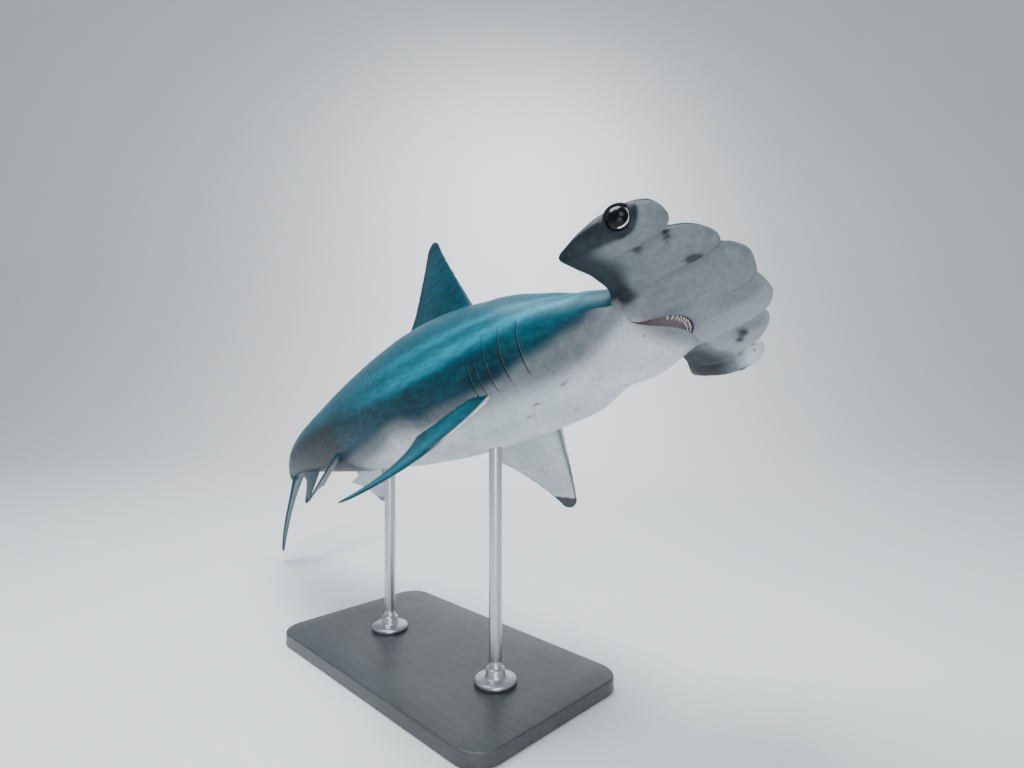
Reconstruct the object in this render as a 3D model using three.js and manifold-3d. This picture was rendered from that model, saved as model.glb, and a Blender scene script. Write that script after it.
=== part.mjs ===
// A life-size scalloped hammerhead shark, caught in a slow banking turn, on a display stand.
//
// Units are millimetres, +Z is up, and the origin is the middle of the underside of the stand's base.
// The shark swims towards +X. Its shape is worked out on a straight body first: station s runs from 0 at
// the snout to about 1 at the tip of the tail, as a share of the total length, y is to its left and z is
// up. The spine then bends, climbs and banks that straight body into its pose.

import * as THREE from "three";
import { mergeVertices } from "three/addons/utils/BufferGeometryUtils.js";
import Module from "manifold-3d";

const wasm = await Module();
wasm.setup();

// Driving dimensions
const TOTAL_LENGTH = 2400;
const GIRTH = 1.08; // stoutness of the trunk, 1 is a lean fish
const PECTORAL_LENGTH = 0.132; // of each pectoral fin along its leading edge, as a share of the total length
const JOINT_GAP = 0.3; // left between any two pieces that meet
const BASE_LENGTH = 780;
const BASE_WIDTH = 440;
const BASE_THICKNESS = 32;
const ROD_RADIUS = 14;
const HOLD_HEIGHT = 632.5; // of the spine over the middle of the stand

const mm = (share) => share * TOTAL_LENGTH;
const degrees = THREE.MathUtils.degToRad;

// Curves

// A monotone cubic through [x, y] knots, level beyond its ends.
function curve(knots) {
  const n = knots.length;
  const slope = [];
  for (let i = 0; i < n - 1; i++) {
    slope.push((knots[i + 1][1] - knots[i][1]) / (knots[i + 1][0] - knots[i][0]));
  }
  const tangent = knots.map((_, i) => {
    if (i === 0) return slope[0];
    if (i === n - 1) return slope[n - 2];
    if (slope[i - 1] * slope[i] <= 0) return 0;
    return (2 * slope[i - 1] * slope[i]) / (slope[i - 1] + slope[i]);
  });
  return (x) => {
    if (x <= knots[0][0]) return knots[0][1];
    if (x >= knots[n - 1][0]) return knots[n - 1][1];
    let i = 0;
    while (x > knots[i + 1][0]) i++;
    const h = knots[i + 1][0] - knots[i][0];
    const t = (x - knots[i][0]) / h;
    const a = knots[i][1];
    const b = knots[i + 1][1];
    const rise = t * t * (3 - 2 * t);
    return a + (b - a) * rise + h * t * (1 - t) * ((1 - t) * tangent[i] - t * tangent[i + 1]);
  };
}

const clamp01 = (x) => Math.min(1, Math.max(0, x));
const smooth = (x) => clamp01(x) * clamp01(x) * (3 - 2 * clamp01(x));
// A quarter round that rises from 0 to 1 as x does.
const quarterRound = (x) => Math.sqrt(1 - (1 - clamp01(x)) ** 2);

// Pose of the spine: heading to the left, nose up, and right side up, in degrees

const HEADING = curve([[0, 15], [0.06, 14.9], [0.1, 14.2], [0.14, 10], [0.25, 1], [0.4, -1.5], [0.55, -2],
  [0.7, -15], [0.8, -45], [0.88, -66], [1, -74]]);
const CLIMB = curve([[0, 22], [0.12, 19], [0.25, 15.5], [0.4, 13.5], [0.55, 14.5], [0.7, 19], [1, 22]]);
const BANK = curve([[0, 18.5], [0.1, 17], [0.15, 11.5], [0.25, 9], [0.4, 13], [0.55, 15], [0.7, 12], [1, 11]]);

const SPINE_STEPS = 500;

function bodyAxes(s) {
  const yaw = degrees(HEADING(s));
  const pitch = degrees(CLIMB(s));
  const bank = degrees(BANK(s));
  const forward = new THREE.Vector3(
    Math.cos(pitch) * Math.cos(yaw),
    Math.cos(pitch) * Math.sin(yaw),
    Math.sin(pitch),
  );
  const level = new THREE.Vector3(-Math.sin(yaw), Math.cos(yaw), 0);
  const upright = forward.clone().cross(level);
  const left = level.clone().multiplyScalar(Math.cos(bank)).addScaledVector(upright, -Math.sin(bank));
  const up = upright.clone().multiplyScalar(Math.cos(bank)).addScaledVector(level, Math.sin(bank));
  return { forward, left, up };
}

const spine = [new THREE.Vector3()];
for (let i = 1; i <= SPINE_STEPS; i++) {
  const { forward } = bodyAxes((i - 0.5) / SPINE_STEPS);
  spine.push(spine[i - 1].clone().addScaledVector(forward, -mm(1 / SPINE_STEPS)));
}

const FRONT_ROD = 0.25;
const REAR_ROD = 0.42;
const HELD_AT = (FRONT_ROD + REAR_ROD) / 2;
const along = (s) => {
  const f = clamp01(s) * SPINE_STEPS;
  const i = Math.min(SPINE_STEPS - 1, Math.floor(f));
  return spine[i].clone().lerp(spine[i + 1], f - i);
};
const shift = new THREE.Vector3(0, 0, HOLD_HEIGHT).sub(along(HELD_AT));

// The place in the pose of a point of the straight body.
function placed(s, y, z) {
  const { left, up } = bodyAxes(s);
  return along(s).addScaledVector(left, mm(y)).addScaledVector(up, mm(z)).add(shift);
}

// Sections of the trunk, as shares of the total length

const HALF_WIDTH = curve([[0.02, 0.03], [0.06, 0.044], [0.09, 0.0435], [0.125, 0.0425], [0.16, 0.0508],
  [0.2, 0.057], [0.25, 0.0595], [0.29, 0.0595], [0.34, 0.0575], [0.385, 0.054], [0.45, 0.0475], [0.5, 0.0415],
  [0.55, 0.035], [0.6, 0.0278], [0.65, 0.0208], [0.69, 0.0155], [0.72, 0.0118]]);
const BACK = curve([[0.02, 0.007], [0.04, 0.0135], [0.06, 0.0195], [0.09, 0.0265], [0.125, 0.0315],
  [0.16, 0.0415], [0.2, 0.0545], [0.25, 0.0655], [0.29, 0.0705], [0.34, 0.0725], [0.385, 0.0695],
  [0.45, 0.0605], [0.5, 0.0515], [0.55, 0.0405], [0.6, 0.0325], [0.65, 0.0262], [0.69, 0.0217], [0.72, 0.02]]);
const BELLY = curve([[0.02, 0.005], [0.04, 0.0082], [0.06, 0.0112], [0.09, 0.0272], [0.125, 0.0472],
  [0.16, 0.0555], [0.2, 0.0568], [0.25, 0.0585], [0.29, 0.059], [0.34, 0.0575], [0.385, 0.0552],
  [0.45, 0.0505], [0.5, 0.046], [0.55, 0.04], [0.6, 0.033], [0.65, 0.0258], [0.69, 0.0202], [0.72, 0.0175]]);
// The trunk is stout, and the head isn't.
const stout = (s) => 1 + (GIRTH - 1) * smooth((s - 0.1) / 0.1);
const halfWidth = (s) => HALF_WIDTH(s) * stout(s);
const back = (s) => BACK(s) * stout(s);
const belly = (s) => BELLY(s) * stout(s);

// A point of the trunk's skin. Angle 0 is the right flank, 90 the back and 270 the belly.
function trunkPoint(s, angle, grow = 0) {
  const c = Math.cos(angle);
  const v = Math.sin(angle);
  const y = -halfWidth(s) * c;
  const z = (v > 0 ? back(s) : belly(s)) * v;
  const fit = 1 + (2 * grow) / mm(halfWidth(s) + back(s));
  return { s, y: y * fit, z: z * fit };
}

// Gill slits: five curved flaps each side, which overlap backwards

const GILLS = [
  { s: 0.17, top: 14, bottom: -32 },
  { s: 0.185, top: 10, bottom: -34 },
  { s: 0.1985, top: 5, bottom: -37 },
  { s: 0.209, top: -4, bottom: -37 },
  { s: 0.2158, top: -6, bottom: -36 },
];
const GILL_FLAP = 3.2; // mm that a flap's edge stands out
const GILL_DEPTH = 9; // mm from there to the bottom of the slit
const GILL_BOW = 0.006; // how far the ends of a slit curve forwards
// Offsets in mm behind the slit, and the share of flap (positive) or slit (negative) there.
const GILL_PROFILE = [[-10.6, 0], [-4, 0.8], [-1, 1], [0.7, -1], [4.2, 0]];

// The depth of the skin at a gill's row: row and angle choose the profile's value.
function gillLift(value, gill, angle) {
  const turn = THREE.MathUtils.radToDeg(angle);
  const flank = turn > 180 ? 180 - turn : turn; // both flanks alike: 0 at the side, 90 at the back
  const right = turn <= 90 || turn >= 270;
  const height = right ? (turn > 180 ? turn - 360 : turn) : flank;
  const middle = (gill.top + gill.bottom) / 2;
  const half = (gill.top - gill.bottom) / 2;
  const reach = Math.abs(height - middle) / half;
  const open = reach >= 1 ? 0 : Math.sqrt(1 - reach * reach);
  return open * (value > 0 ? value * GILL_FLAP : value * (GILL_DEPTH - GILL_FLAP));
}

// Head: a flat wing with a lobed front edge, a blunt end with the eye, and a swept trailing edge

const HEAD_END = 0.13; // station of the cut behind the head
// Front edge: station against distance from the midline, with its notches.
const FRONT_EDGE = curve([[0, 0.0108], [0.01, 0.0082], [0.028, 0.0066], [0.044, 0.0122], [0.0535, 0.0187],
  [0.062, 0.0176], [0.077, 0.0224], [0.0872, 0.0298], [0.0925, 0.0375], [0.0962, 0.0425], [0.1005, 0.0372],
  [0.1065, 0.034], [0.1145, 0.0345]]);
// The ends of the section rows, which walk from the front corner round the end to the neck.
const END_STATION = curve([[0, 0.0345], [0.06, 0.0372], [0.12, 0.0436], [0.18, 0.054], [0.25, 0.0685],
  [0.32, 0.084], [0.38, 0.0955], [0.43, 0.0995], [0.5, 0.0974], [0.6, 0.0938], [0.7, 0.0932], [0.78, 0.093],
  [0.84, 0.0948], [0.9, 0.1015], [1, HEAD_END]]);
const END_SIDE = curve([[0, 0.1145], [0.06, 0.1207], [0.12, 0.126], [0.18, 0.1294], [0.25, 0.1304],
  [0.32, 0.1284], [0.38, 0.1245], [0.43, 0.1178], [0.5, 0.1045], [0.6, 0.086], [0.7, 0.0672], [0.78, 0.0532],
  [0.84, 0.0468], [0.9, 0.0432], [1, halfWidth(HEAD_END)]]);
// Where each row crosses the midline.
const MID_STATION = curve([[0, 0.0108], [0.06, 0.0145], [0.12, 0.0205], [0.18, 0.0275], [0.25, 0.037],
  [0.32, 0.047], [0.38, 0.0555], [0.425, 0.0615], [0.5, 0.0715], [0.6, 0.0825], [0.7, 0.0912], [0.78, 0.0965],
  [0.84, 0.1005], [0.9, 0.1065], [1, HEAD_END]]);
// The trailing edge, carried on across the neck.
const TRAILING_EDGE = curve([[0, 0.114], [0.03, 0.112], [0.042, 0.1045], [0.0468, 0.0952], [0.0532, 0.093],
  [0.069, 0.0932], [0.086, 0.0938], [0.1045, 0.0974], [0.1178, 0.0995], [0.125, 0.096], [0.131, 0.086]]);
// The wing hangs a little below the spine, and its ends a little more.
const WING_DROP = curve([[0.085, 0.006], [0.094, 0.0072], [0.125, 0]]);
const END_DROP = curve([[0.05, 0], [0.13, 0.0035]]);
const ROW_ARCH = 2.2; // how a row bends back towards its ends
const WING_TOP = curve([[0, 0.0078], [0.06, 0.0074], [0.1, 0.0082], [0.12, 0.0112], [0.13, 0.0116]]);
const WING_UNDER = curve([[0, 0.009], [0.06, 0.0086], [0.1, 0.0094], [0.12, 0.0106], [0.13, 0.011]]);
const RIDGE = curve([[0.07, 0.078], [0.084, 0.07], [0.0895, 0.058], [0.093, 0.0492], [0.0975, 0.0452],
  [0.106, 0.0432], [HEAD_END, halfWidth(HEAD_END)]]);
const FRONT_ROUND = 0.014; // the blunt front edge
const TRAIL_ROUND = 0.034; // the long taper to the trailing edge

const steps = (count, to) => Array.from({ length: count + 1 }, (_, i) => (i / count) * to);
const frontLine = steps(60, 0.1145).map((y) => [FRONT_EDGE(y), y]);
const endLine = steps(40, 0.43).map((v) => [END_STATION(v), END_SIDE(v)]);

function lineDistance(line, s, y) {
  let found = Infinity;
  for (let i = 1; i < line.length; i++) {
    const [as, ay] = line[i - 1];
    const [bs, by] = line[i];
    const ds = bs - as;
    const dy = by - ay;
    const t = clamp01(((s - as) * ds + (y - ay) * dy) / (ds * ds + dy * dy));
    found = Math.min(found, Math.hypot(s - as - t * ds, y - ay - t * dy));
  }
  return Math.max(1e-6, found);
}

// Distance from a point of the plan to the wing's front edge and end, drawn together softly where both are near.
function edgeDistance(s, y) {
  return (lineDistance(frontLine, s, y) ** -4 + lineDistance(endLine, s, y) ** -4) ** -0.25;
}

// Mouth: an arched gape under the head, with the lower jaw dropped a little
const MOUTH_ROW = 0.425;
const MOUTH_HALF = 0.0395;
const MOUTH_ARCH = 0.0295; // how far its corners lie behind its front
const GAPE = 0.0172; // from the upper lip to the jaw, at the front
const MOUTH_DEPTH = 0.024; // how far the hollow runs back from the lip at its front

// Where the mouth's arch pulls the rows of the underside: 1 on the mouth's own row.
const MOUTH_PULL = curve([[0.08, 0], [0.12, 0.1], [0.18, 0.25], [0.25, 0.45], [0.32, 0.65], [0.38, 0.84], [MOUTH_ROW, 1],
  [0.5, 0.84], [0.6, 0.64], [0.7, 0.45], [0.78, 0.3], [0.84, 0.19], [0.9, 0.09], [1, 0]]);
const ARCH = curve([[0, 0], [0.009, 0.0012], [0.018, 0.0055], [0.027, 0.0135], [0.034, 0.0228],
  [MOUTH_HALF, MOUTH_ARCH], [0.045, 0.0265], [0.055, 0.0175], [0.066, 0.0082], [0.08, 0]]);

// Share of the gape from the middle of the jaw to the corner of the mouth.
const JAW = curve([[0, 1], [0.12, 0.95], [0.29, 0.8], [0.5, 0.62], [0.66, 0.46], [0.8, 0.25], [0.92, 0.06], [1, 0]]);

// How far the lower jaw stands below the head, behind the mouth's front edge.
function jawDrop(s, y) {
  const lip = MID_STATION(MOUTH_ROW) + ARCH(Math.min(Math.abs(y), MOUTH_HALF));
  return GAPE * JAW(Math.abs(y) / MOUTH_HALF) * (1 - smooth((s - lip) / 0.062));
}

// Height of the head's skin above (or below) its middle plane, at a station and a side.
function headHeight(s, y, under) {
  const side = Math.abs(y);
  const reach = edgeDistance(s, side);
  const trail = TRAILING_EDGE(side) - s;
  const wing = (under ? WING_UNDER : WING_TOP)(side) * quarterRound(reach / FRONT_ROUND)
    * clamp01(1 - (1 - clamp01(trail / TRAIL_ROUND)) ** 2.2);
  // The skull's ridge spreads into the wing, and narrows to the trunk's own section at the neck.
  const wide = Math.max(RIDGE(s), halfWidth(s));
  const skirt = 0.5 + 1.6 * (wide / halfWidth(s) - 1);
  const core = (under ? belly : back)(s) * Math.max(0, 1 - (side / wide) ** 2) ** skirt * quarterRound(reach / 0.03);
  const blend = 0.006 * clamp01(Math.min(wing, core) / 0.004);
  return (wing + core + Math.sqrt((wing - core) ** 2 + blend * blend)) / 2;
}

// Swellings between the notches of the front edge, strongest underneath.
function lobeSwell(share, v) {
  const valley = (at, wide) => Math.exp(-(((share - at) / wide) ** 2));
  const dip = valley(0, 0.05) + valley(0.467, 0.045) + 0.8 * valley(0.84, 0.022);
  return -0.0026 * Math.min(1, dip) * smooth(v / 0.06) * (1 - smooth((v - 0.1) / 0.28));
}

// A point of the head's skin, on row v (0 front edge, 1 neck) and share -1 (right end) to 1 (left end).
function headPoint(v, share, under, drop = true) {
  const part = Math.abs(share);
  const y = END_SIDE(0) * share * Math.min(1, END_SIDE(v) / END_SIDE(0))
    + Math.max(0, END_SIDE(v) - END_SIDE(0)) * Math.sign(share) * part ** 8;
  const arch = part ** ROW_ARCH;
  let s = MID_STATION(v) + (END_STATION(v) - MID_STATION(v)) * arch;
  const frontArch = MID_STATION(0) + (END_STATION(0) - MID_STATION(0)) * arch;
  s += (FRONT_EDGE(part * END_SIDE(0)) - frontArch) * (1 - smooth(v / 0.3));
  if (under) s += ARCH(Math.abs(y)) * MOUTH_PULL(v) * (1 - part ** 3);
  let height = headHeight(s, y, under);
  height += lobeSwell(part, v) * (under ? 1 : 0.45) * clamp01(height / 0.006);
  if (under && drop && v >= MOUTH_ROW) height += jawDrop(s, y);
  // Top and underside meet on the outline itself, and nowhere else.
  height = v === 0 || part === 1 ? 0 : Math.max(height, 0.00012);
  return { s, y, z: (under ? -height : height) - WING_DROP(s) - END_DROP(Math.abs(y)) };
}

// Meshes

// A closed solid from rows of points, each row a loop. A flat first or last row closes by itself, without a cap.
function loft(rows, { capFirst = true, capLast = true } = {}) {
  const n = rows[0].length;
  const points = rows.flat();
  const faces = [];
  for (let i = 0; i < rows.length - 1; i++) {
    for (let j = 0; j < n; j++) {
      const a = i * n + j;
      const b = i * n + ((j + 1) % n);
      const c = a + n;
      const d = b + n;
      // Both faces of a thin piece are split along the same diagonal.
      if (j < n / 2) faces.push([a, b, d], [a, d, c]);
      else faces.push([a, b, c], [b, d, c]);
    }
  }
  for (const [row, flip, cap] of [[0, true, capFirst], [rows.length - 1, false, capLast]]) {
    if (!cap) continue;
    const middle = points.length;
    points.push(rows[row].reduce((sum, p) => sum.add(p), new THREE.Vector3()).divideScalar(n));
    for (let j = 0; j < n; j++) {
      const a = row * n + j;
      const b = row * n + ((j + 1) % n);
      faces.push(flip ? [middle, b, a] : [middle, a, b]);
    }
  }
  return solid(points, faces);
}

// A solid of points and triangles, with equal points merged and empty triangles dropped.
function solid(points, faces) {
  const index = new Map();
  const place = [];
  const same = points.map((p) => {
    const key = [p.x, p.y, p.z].map((value) => Math.round(value * 500)).join();
    if (!index.has(key)) {
      index.set(key, place.length / 3);
      place.push(p.x, p.y, p.z);
    }
    return index.get(key);
  });
  const triangles = faces
    .map((face) => face.map((i) => same[i]))
    .filter(([a, b, c]) => a !== b && b !== c && c !== a);
  const made = manifold(new Float32Array(place), new Uint32Array(triangles.flat()));
  if (made.volume() > 0) return made;
  return manifold(new Float32Array(place), new Uint32Array(triangles.map(([a, b, c]) => [a, c, b]).flat()));
}

function manifold(vertProperties, triVerts) {
  return new wasm.Manifold(new wasm.Mesh({ numProp: 3, vertProperties, triVerts }));
}

function fromGeometry(geometry) {
  const bare = new THREE.BufferGeometry();
  bare.setAttribute("position", geometry.getAttribute("position"));
  if (geometry.index) bare.setIndex(geometry.index);
  const merged = mergeVertices(bare, 1e-3);
  return manifold(new Float32Array(merged.attributes.position.array), new Uint32Array(merged.index.array));
}

// The largest closed body of a solid.
function largest(made) {
  return made.decompose().reduce((best, body) => (body.volume() > best.volume() ? body : best));
}

function geometryOf(made) {
  const mesh = made.simplify(0.02).getMesh();
  const place = new Float32Array(mesh.numVert * 3);
  for (let i = 0; i < mesh.numVert; i++) {
    for (let k = 0; k < 3; k++) place[i * 3 + k] = mesh.vertProperties[i * mesh.numProp + k];
  }
  const geometry = new THREE.BufferGeometry();
  geometry.setAttribute("position", new THREE.BufferAttribute(place, 3));
  geometry.setIndex(new THREE.BufferAttribute(new Uint32Array(mesh.triVerts), 1));
  geometry.computeVertexNormals();
  return geometry;
}

// Head

const HEAD_ROWS = [0, 0.004, 0.014, 0.032, 0.06, 0.1, 0.15, 0.2, 0.26, 0.32, 0.375, MOUTH_ROW, 0.47, 0.53, 0.6, 0.67, 0.73,
  0.79, 0.85, 0.91, 0.96, 1];
const HEAD_SHARES = [0, 0.045, 0.1, 0.165, 0.23, 0.29, 0.345, 0.39, 0.43, 0.467, 0.505, 0.56, 0.63, 0.71, 0.785, 0.84, 0.873,
  0.893, 0.915, 0.945, 0.968, 0.985, 0.996];
// Rows inside the mouth: how far back, and how far from the upper lip to the lower one.
const MOUTH_ROWS = [[0.14, -0.12], [1, -0.05], [0.95, 0.6], [0.04, 0.88]];

// Shares round a row of the head: the top from right to left, then the underside back.
const headLoop = [
  ...HEAD_SHARES.slice(1).reverse().map((x) => [-x, false]),
  ...HEAD_SHARES.map((x) => [x, false]),
  [1, false],
  ...HEAD_SHARES.slice(1).reverse().map((x) => [x, true]),
  ...HEAD_SHARES.map((x) => [-x, true]),
  [-1, true],
];

// A row inside the mouth; outside the mouth's width it stays on the lip.
function mouthRow([inward, fall], [share, under]) {
  const lip = headPoint(MOUTH_ROW, share, under, false);
  const jaw = headPoint(MOUTH_ROW, share, under, true);
  const wide = Math.abs(lip.y) / MOUTH_HALF;
  if (!under || wide >= 0.985) return jaw;
  const open = Math.sqrt(1 - wide * wide);
  return {
    s: lip.s + MOUTH_DEPTH * inward * open,
    y: lip.y * (1 - 0.12 * inward),
    z: lip.z + (jaw.z - lip.z) * fall * (fall > 0 ? 1 : open),
  };
}

// A tooth of the upper jaw, with its root sunk in the palate.
function tooth(side, back) {
  const lip = headPoint(MOUTH_ROW, side / END_SIDE(0), true, false);
  const { forward, left, up } = bodyAxes(lip.s);
  const cone = new THREE.ConeGeometry(TOOTH_RADIUS, TOOTH_LENGTH, 5).rotateX(-Math.PI / 2);
  cone.applyMatrix4(new THREE.Matrix4().makeBasis(forward, left, up));
  const at = placed(lip.s + back, lip.y, lip.z + 0.0006);
  return fromGeometry(cone.translate(at.x, at.y, at.z));
}

function headRows() {
  const place = ({ s, y, z }) => placed(s, y, z);
  const rows = [];
  for (const v of HEAD_ROWS) {
    if (v === MOUTH_ROW) {
      rows.push(headLoop.map(([share, under]) => place(headPoint(v, share, under, false))));
      for (const row of MOUTH_ROWS) rows.push(headLoop.map((at) => place(mouthRow(row, at))));
    }
    rows.push(headLoop.map(([share, under]) => place(headPoint(v, share, under))));
  }
  return rows;
}

const EYE = { s: 0.0555, side: 0.1235, z: -0.0085, radius: 18 };
const LID_TUBE = 4.2;
const TEETH = 13; // in each row of the upper jaw
const TOOTH_PITCH = 0.0034;
const TOOTH_ROWS = [0.0022, 0.0048]; // stations behind the lip
const TOOTH_RADIUS = 2.8;
const TOOTH_LENGTH = 9.5;

// A ball, or a ring round it, at an eye. Sign is -1 for the right eye.
function eyeBall(sign, radius) {
  const at = placed(EYE.s, sign * EYE.side, EYE.z);
  return fromGeometry(new THREE.SphereGeometry(radius, 18, 12)).translate([at.x, at.y, at.z]);
}

function lidRing(sign) {
  const { forward, left, up } = bodyAxes(EYE.s);
  const ring = new THREE.TorusGeometry(EYE.radius - 1, LID_TUBE, 8, 28);
  ring.applyMatrix4(new THREE.Matrix4().makeBasis(forward, up, left.clone().multiplyScalar(-1)));
  const at = placed(EYE.s, sign * (EYE.side + 5 / TOTAL_LENGTH), EYE.z);
  ring.translate(at.x, at.y, at.z);
  return fromGeometry(ring);
}

function nostril(sign) {
  const slit = new THREE.SphereGeometry(1, 14, 10);
  slit.scale(8, 15, 3.4);
  const { forward, left, up } = bodyAxes(0.04);
  slit.rotateZ(sign * degrees(30));
  slit.applyMatrix4(new THREE.Matrix4().makeBasis(forward, left, up));
  const at = placed(0.0385, sign * 0.0935, -0.0105);
  slit.translate(at.x, at.y, at.z);
  return fromGeometry(slit);
}

function makeHead() {
  let made = loft(headRows(), { capFirst: false });
  for (const sign of [-1, 1]) {
    made = made.add(lidRing(sign)).subtract(eyeBall(sign, EYE.radius + JOINT_GAP)).subtract(nostril(sign));
  }
  for (const [row, back] of TOOTH_ROWS.entries()) {
    for (let i = 0; i < TEETH; i++) made = made.add(tooth((i - (TEETH - 1) / 2 + row / 2) * TOOTH_PITCH, back));
  }
  return largest(made);
}

// Trunk

const NECK_END = 0.222;
const CHEST_END = 0.4;
const BELLY_END = 0.56;
const STALK_END = 0.722;
const TRUNK_SIDES = 36;
const NECK_STATIONS = [0.137, 0.146, 0.155, 0.162];
const CHEST_STATIONS = [0.24, 0.26, 0.28, 0.3, 0.32, 0.34, 0.36, 0.38];
const BELLY_STATIONS = [0.425, 0.45, 0.475, 0.5, 0.53];
const STALK_STATIONS = [0.59, 0.62, 0.65, 0.68, 0.705];
const angles = Array.from({ length: TRUNK_SIDES }, (_, i) => (i / TRUNK_SIDES) * 2 * Math.PI);
const halfGap = JOINT_GAP / 2 / TOTAL_LENGTH;

// One loop of the trunk's skin at a station, with the flap or slit of a gill if it has one.
function trunkRow(s, grow = 0, gill = null, value = 0) {
  return angles.map((angle) => {
    // What meets the neck is cut to its flaps and stays out of its slits.
    const lift = gill ? gillLift(grow > 0 ? Math.max(0, value) : value, gill, angle) : 0;
    const point = trunkPoint(s, angle, grow + lift);
    const window = smooth((s - HEAD_END) / 0.03) * smooth((NECK_END - s) / 0.0125);
    const bow = GILL_BOW * window * (1 - Math.cos(angle) ** 2);
    return placed(s - bow, point.y, point.z);
  });
}

function neckRows(grow = 0) {
  const rows = [trunkRow(HEAD_END + halfGap, grow)];
  for (const s of NECK_STATIONS) rows.push(trunkRow(s, grow));
  for (const gill of GILLS) {
    for (const [offset, value] of GILL_PROFILE) rows.push(trunkRow(gill.s + offset / TOTAL_LENGTH, grow, gill, value));
  }
  rows.push(trunkRow(NECK_END - halfGap, grow));
  return rows;
}

const span = (from, to, inner) => (grow = 0) => [from + halfGap, ...inner, to - halfGap].map((s) => trunkRow(s, grow));
const chestRows = span(NECK_END, CHEST_END, CHEST_STATIONS);
const bellyRows = span(CHEST_END, BELLY_END, BELLY_STATIONS);
const stalkRows = span(BELLY_END, STALK_END, STALK_STATIONS);

// Tail fin: the stalk runs on into the raised upper lobe

const LOBE_RISE = degrees(36);
const LOBE_LENGTH = 0.285;
// Depth of the upper lobe below its front edge, and its half thickness, against distance along that edge.
const LOBE_DEPTH = curve([[0, 0.038], [0.03, 0.053], [0.06, 0.061], [0.09, 0.06], [0.12, 0.055], [0.16, 0.0465], [0.2, 0.0375],
  [0.222, 0.031], [0.229, 0.0275], [0.234, 0.033], [0.25, 0.0325], [0.27, 0.0215], [LOBE_LENGTH, 0.006]]);
const LOBE_THICK = curve([[0, 0.0123], [0.05, 0.0092], [0.1, 0.0062], [0.15, 0.0045], [0.2, 0.0031], [0.25, 0.002], [LOBE_LENGTH, 0.0012]]);
const LOBE_STEPS = [0, 0.015, 0.03, 0.05, 0.07, 0.09, 0.11, 0.135, 0.16, 0.185, 0.205, 0.222, 0.229, 0.234, 0.25, 0.265, 0.277, LOBE_LENGTH];

function lobeRow(d, grow = 0) {
  const turn = smooth(d / 0.05);
  const top = { s: STALK_END + halfGap + d * Math.cos(LOBE_RISE * turn), z: back(STALK_END) + d * Math.sin(LOBE_RISE * turn) };
  const lean = LOBE_RISE * turn;
  const depth = d === 0 ? back(STALK_END) + belly(STALK_END) : LOBE_DEPTH(d);
  const wide = d === 0 ? halfWidth(STALK_END) : LOBE_THICK(d);
  const blade = 0.45 * smooth(d / 0.08);
  return angles.map((angle) => {
    const down = (1 - Math.sin(angle)) / 2;
    const extra = (grow / TOTAL_LENGTH) * 1.4;
    const out = depth * down - extra * Math.sin(angle);
    const y = -(wide + extra) * Math.cos(angle) * (1 + blade * Math.sin(angle));
    return placed(top.s + Math.sin(lean) * out, y, top.z - Math.cos(lean) * out);
  });
}
const lobeRows = (grow = 0) => LOBE_STEPS.map((d) => lobeRow(d, grow));

// Fins: aerofoil sections from a root sunk in the body out to a rounded tip

const CHORD_STEPS = [0.025, 0.07, 0.15, 0.27, 0.41, 0.56, 0.72, 0.87, 1];
const FIN_STEPS = [-0.12, 0, 0.06, 0.12, 0.2, 0.32, 0.46, 0.6, 0.73, 0.84, 0.92, 0.97, 1];
const EDGE_HALF = 0.45; // half the thickness of a trailing edge, mm

// Half thickness of a section, 1 at its thickest, against the share of its chord.
const foil = (c) => Math.min(1, 2.02 * Math.sqrt(c) * (1 - c) ** 1.05 * 1.28);

// lead and chord give the front edge and length of the section at height h; at turns station, height and
// thickness (all shares of the total length) into a point of the straight body.
function fin({ lead, chord, thick, at, steps = FIN_STEPS }) {
  const rows = steps.map((h) => {
    const end = h < 0.92 ? 1 : Math.sqrt(Math.max(0.04, 1 - ((h - 0.92) / 0.08) ** 2));
    const length = chord(h) * end;
    const front = lead(h) + (chord(h) - length) * 0.45;
    const half = Math.max(thick(h) * (0.35 + 0.65 * end), 2 * EDGE_HALF);
    const side = (sign) => (c) => at(front + c * length, h, sign * (EDGE_HALF + (half - EDGE_HALF) * foil(c)) / TOTAL_LENGTH);
    return [at(front, h, 0), ...CHORD_STEPS.map(side(1)), ...CHORD_STEPS.map(side(-1)).reverse()];
  });
  return loft(rows);
}

// A fin on the midline: up is 1 on the back, -1 under the belly.
function medianFin({ height, up, ...shape }) {
  const base = up > 0 ? back : belly;
  return fin({ ...shape, at: (s, h, t) => placed(s, t, up * (base(s) - 0.004 + h * height)) });
}

// A fin on the right (side -1) or left (side 1).
function pairedFin({ side, root, droop, twist, span: reach, bow, ...shape }) {
  const pivot = shape.lead(0) + shape.chord(0) / 2;
  const out = { y: side * Math.cos(droop), z: -Math.sin(droop) };
  return fin({
    ...shape,
    at: (s, h, t) => {
      const bend = bow * Math.max(0, h) ** 2 + (s - pivot) * Math.tan(degrees(twist));
      return placed(
        s,
        side * root.y + out.y * h * reach + side * Math.sin(droop) * (t - bend),
        -root.z + out.z * h * reach + Math.cos(droop) * (t - bend),
      );
    },
  });
}

const finLead = (origin, sweep, shape) => (h) => origin + sweep * shape(h);
const LEAD_SHAPE = curve([[-0.12, -0.1], [0, 0], [0.12, 0.09], [0.25, 0.205], [0.5, 0.445], [0.75, 0.71], [0.9, 0.88], [1, 1]]);

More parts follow.
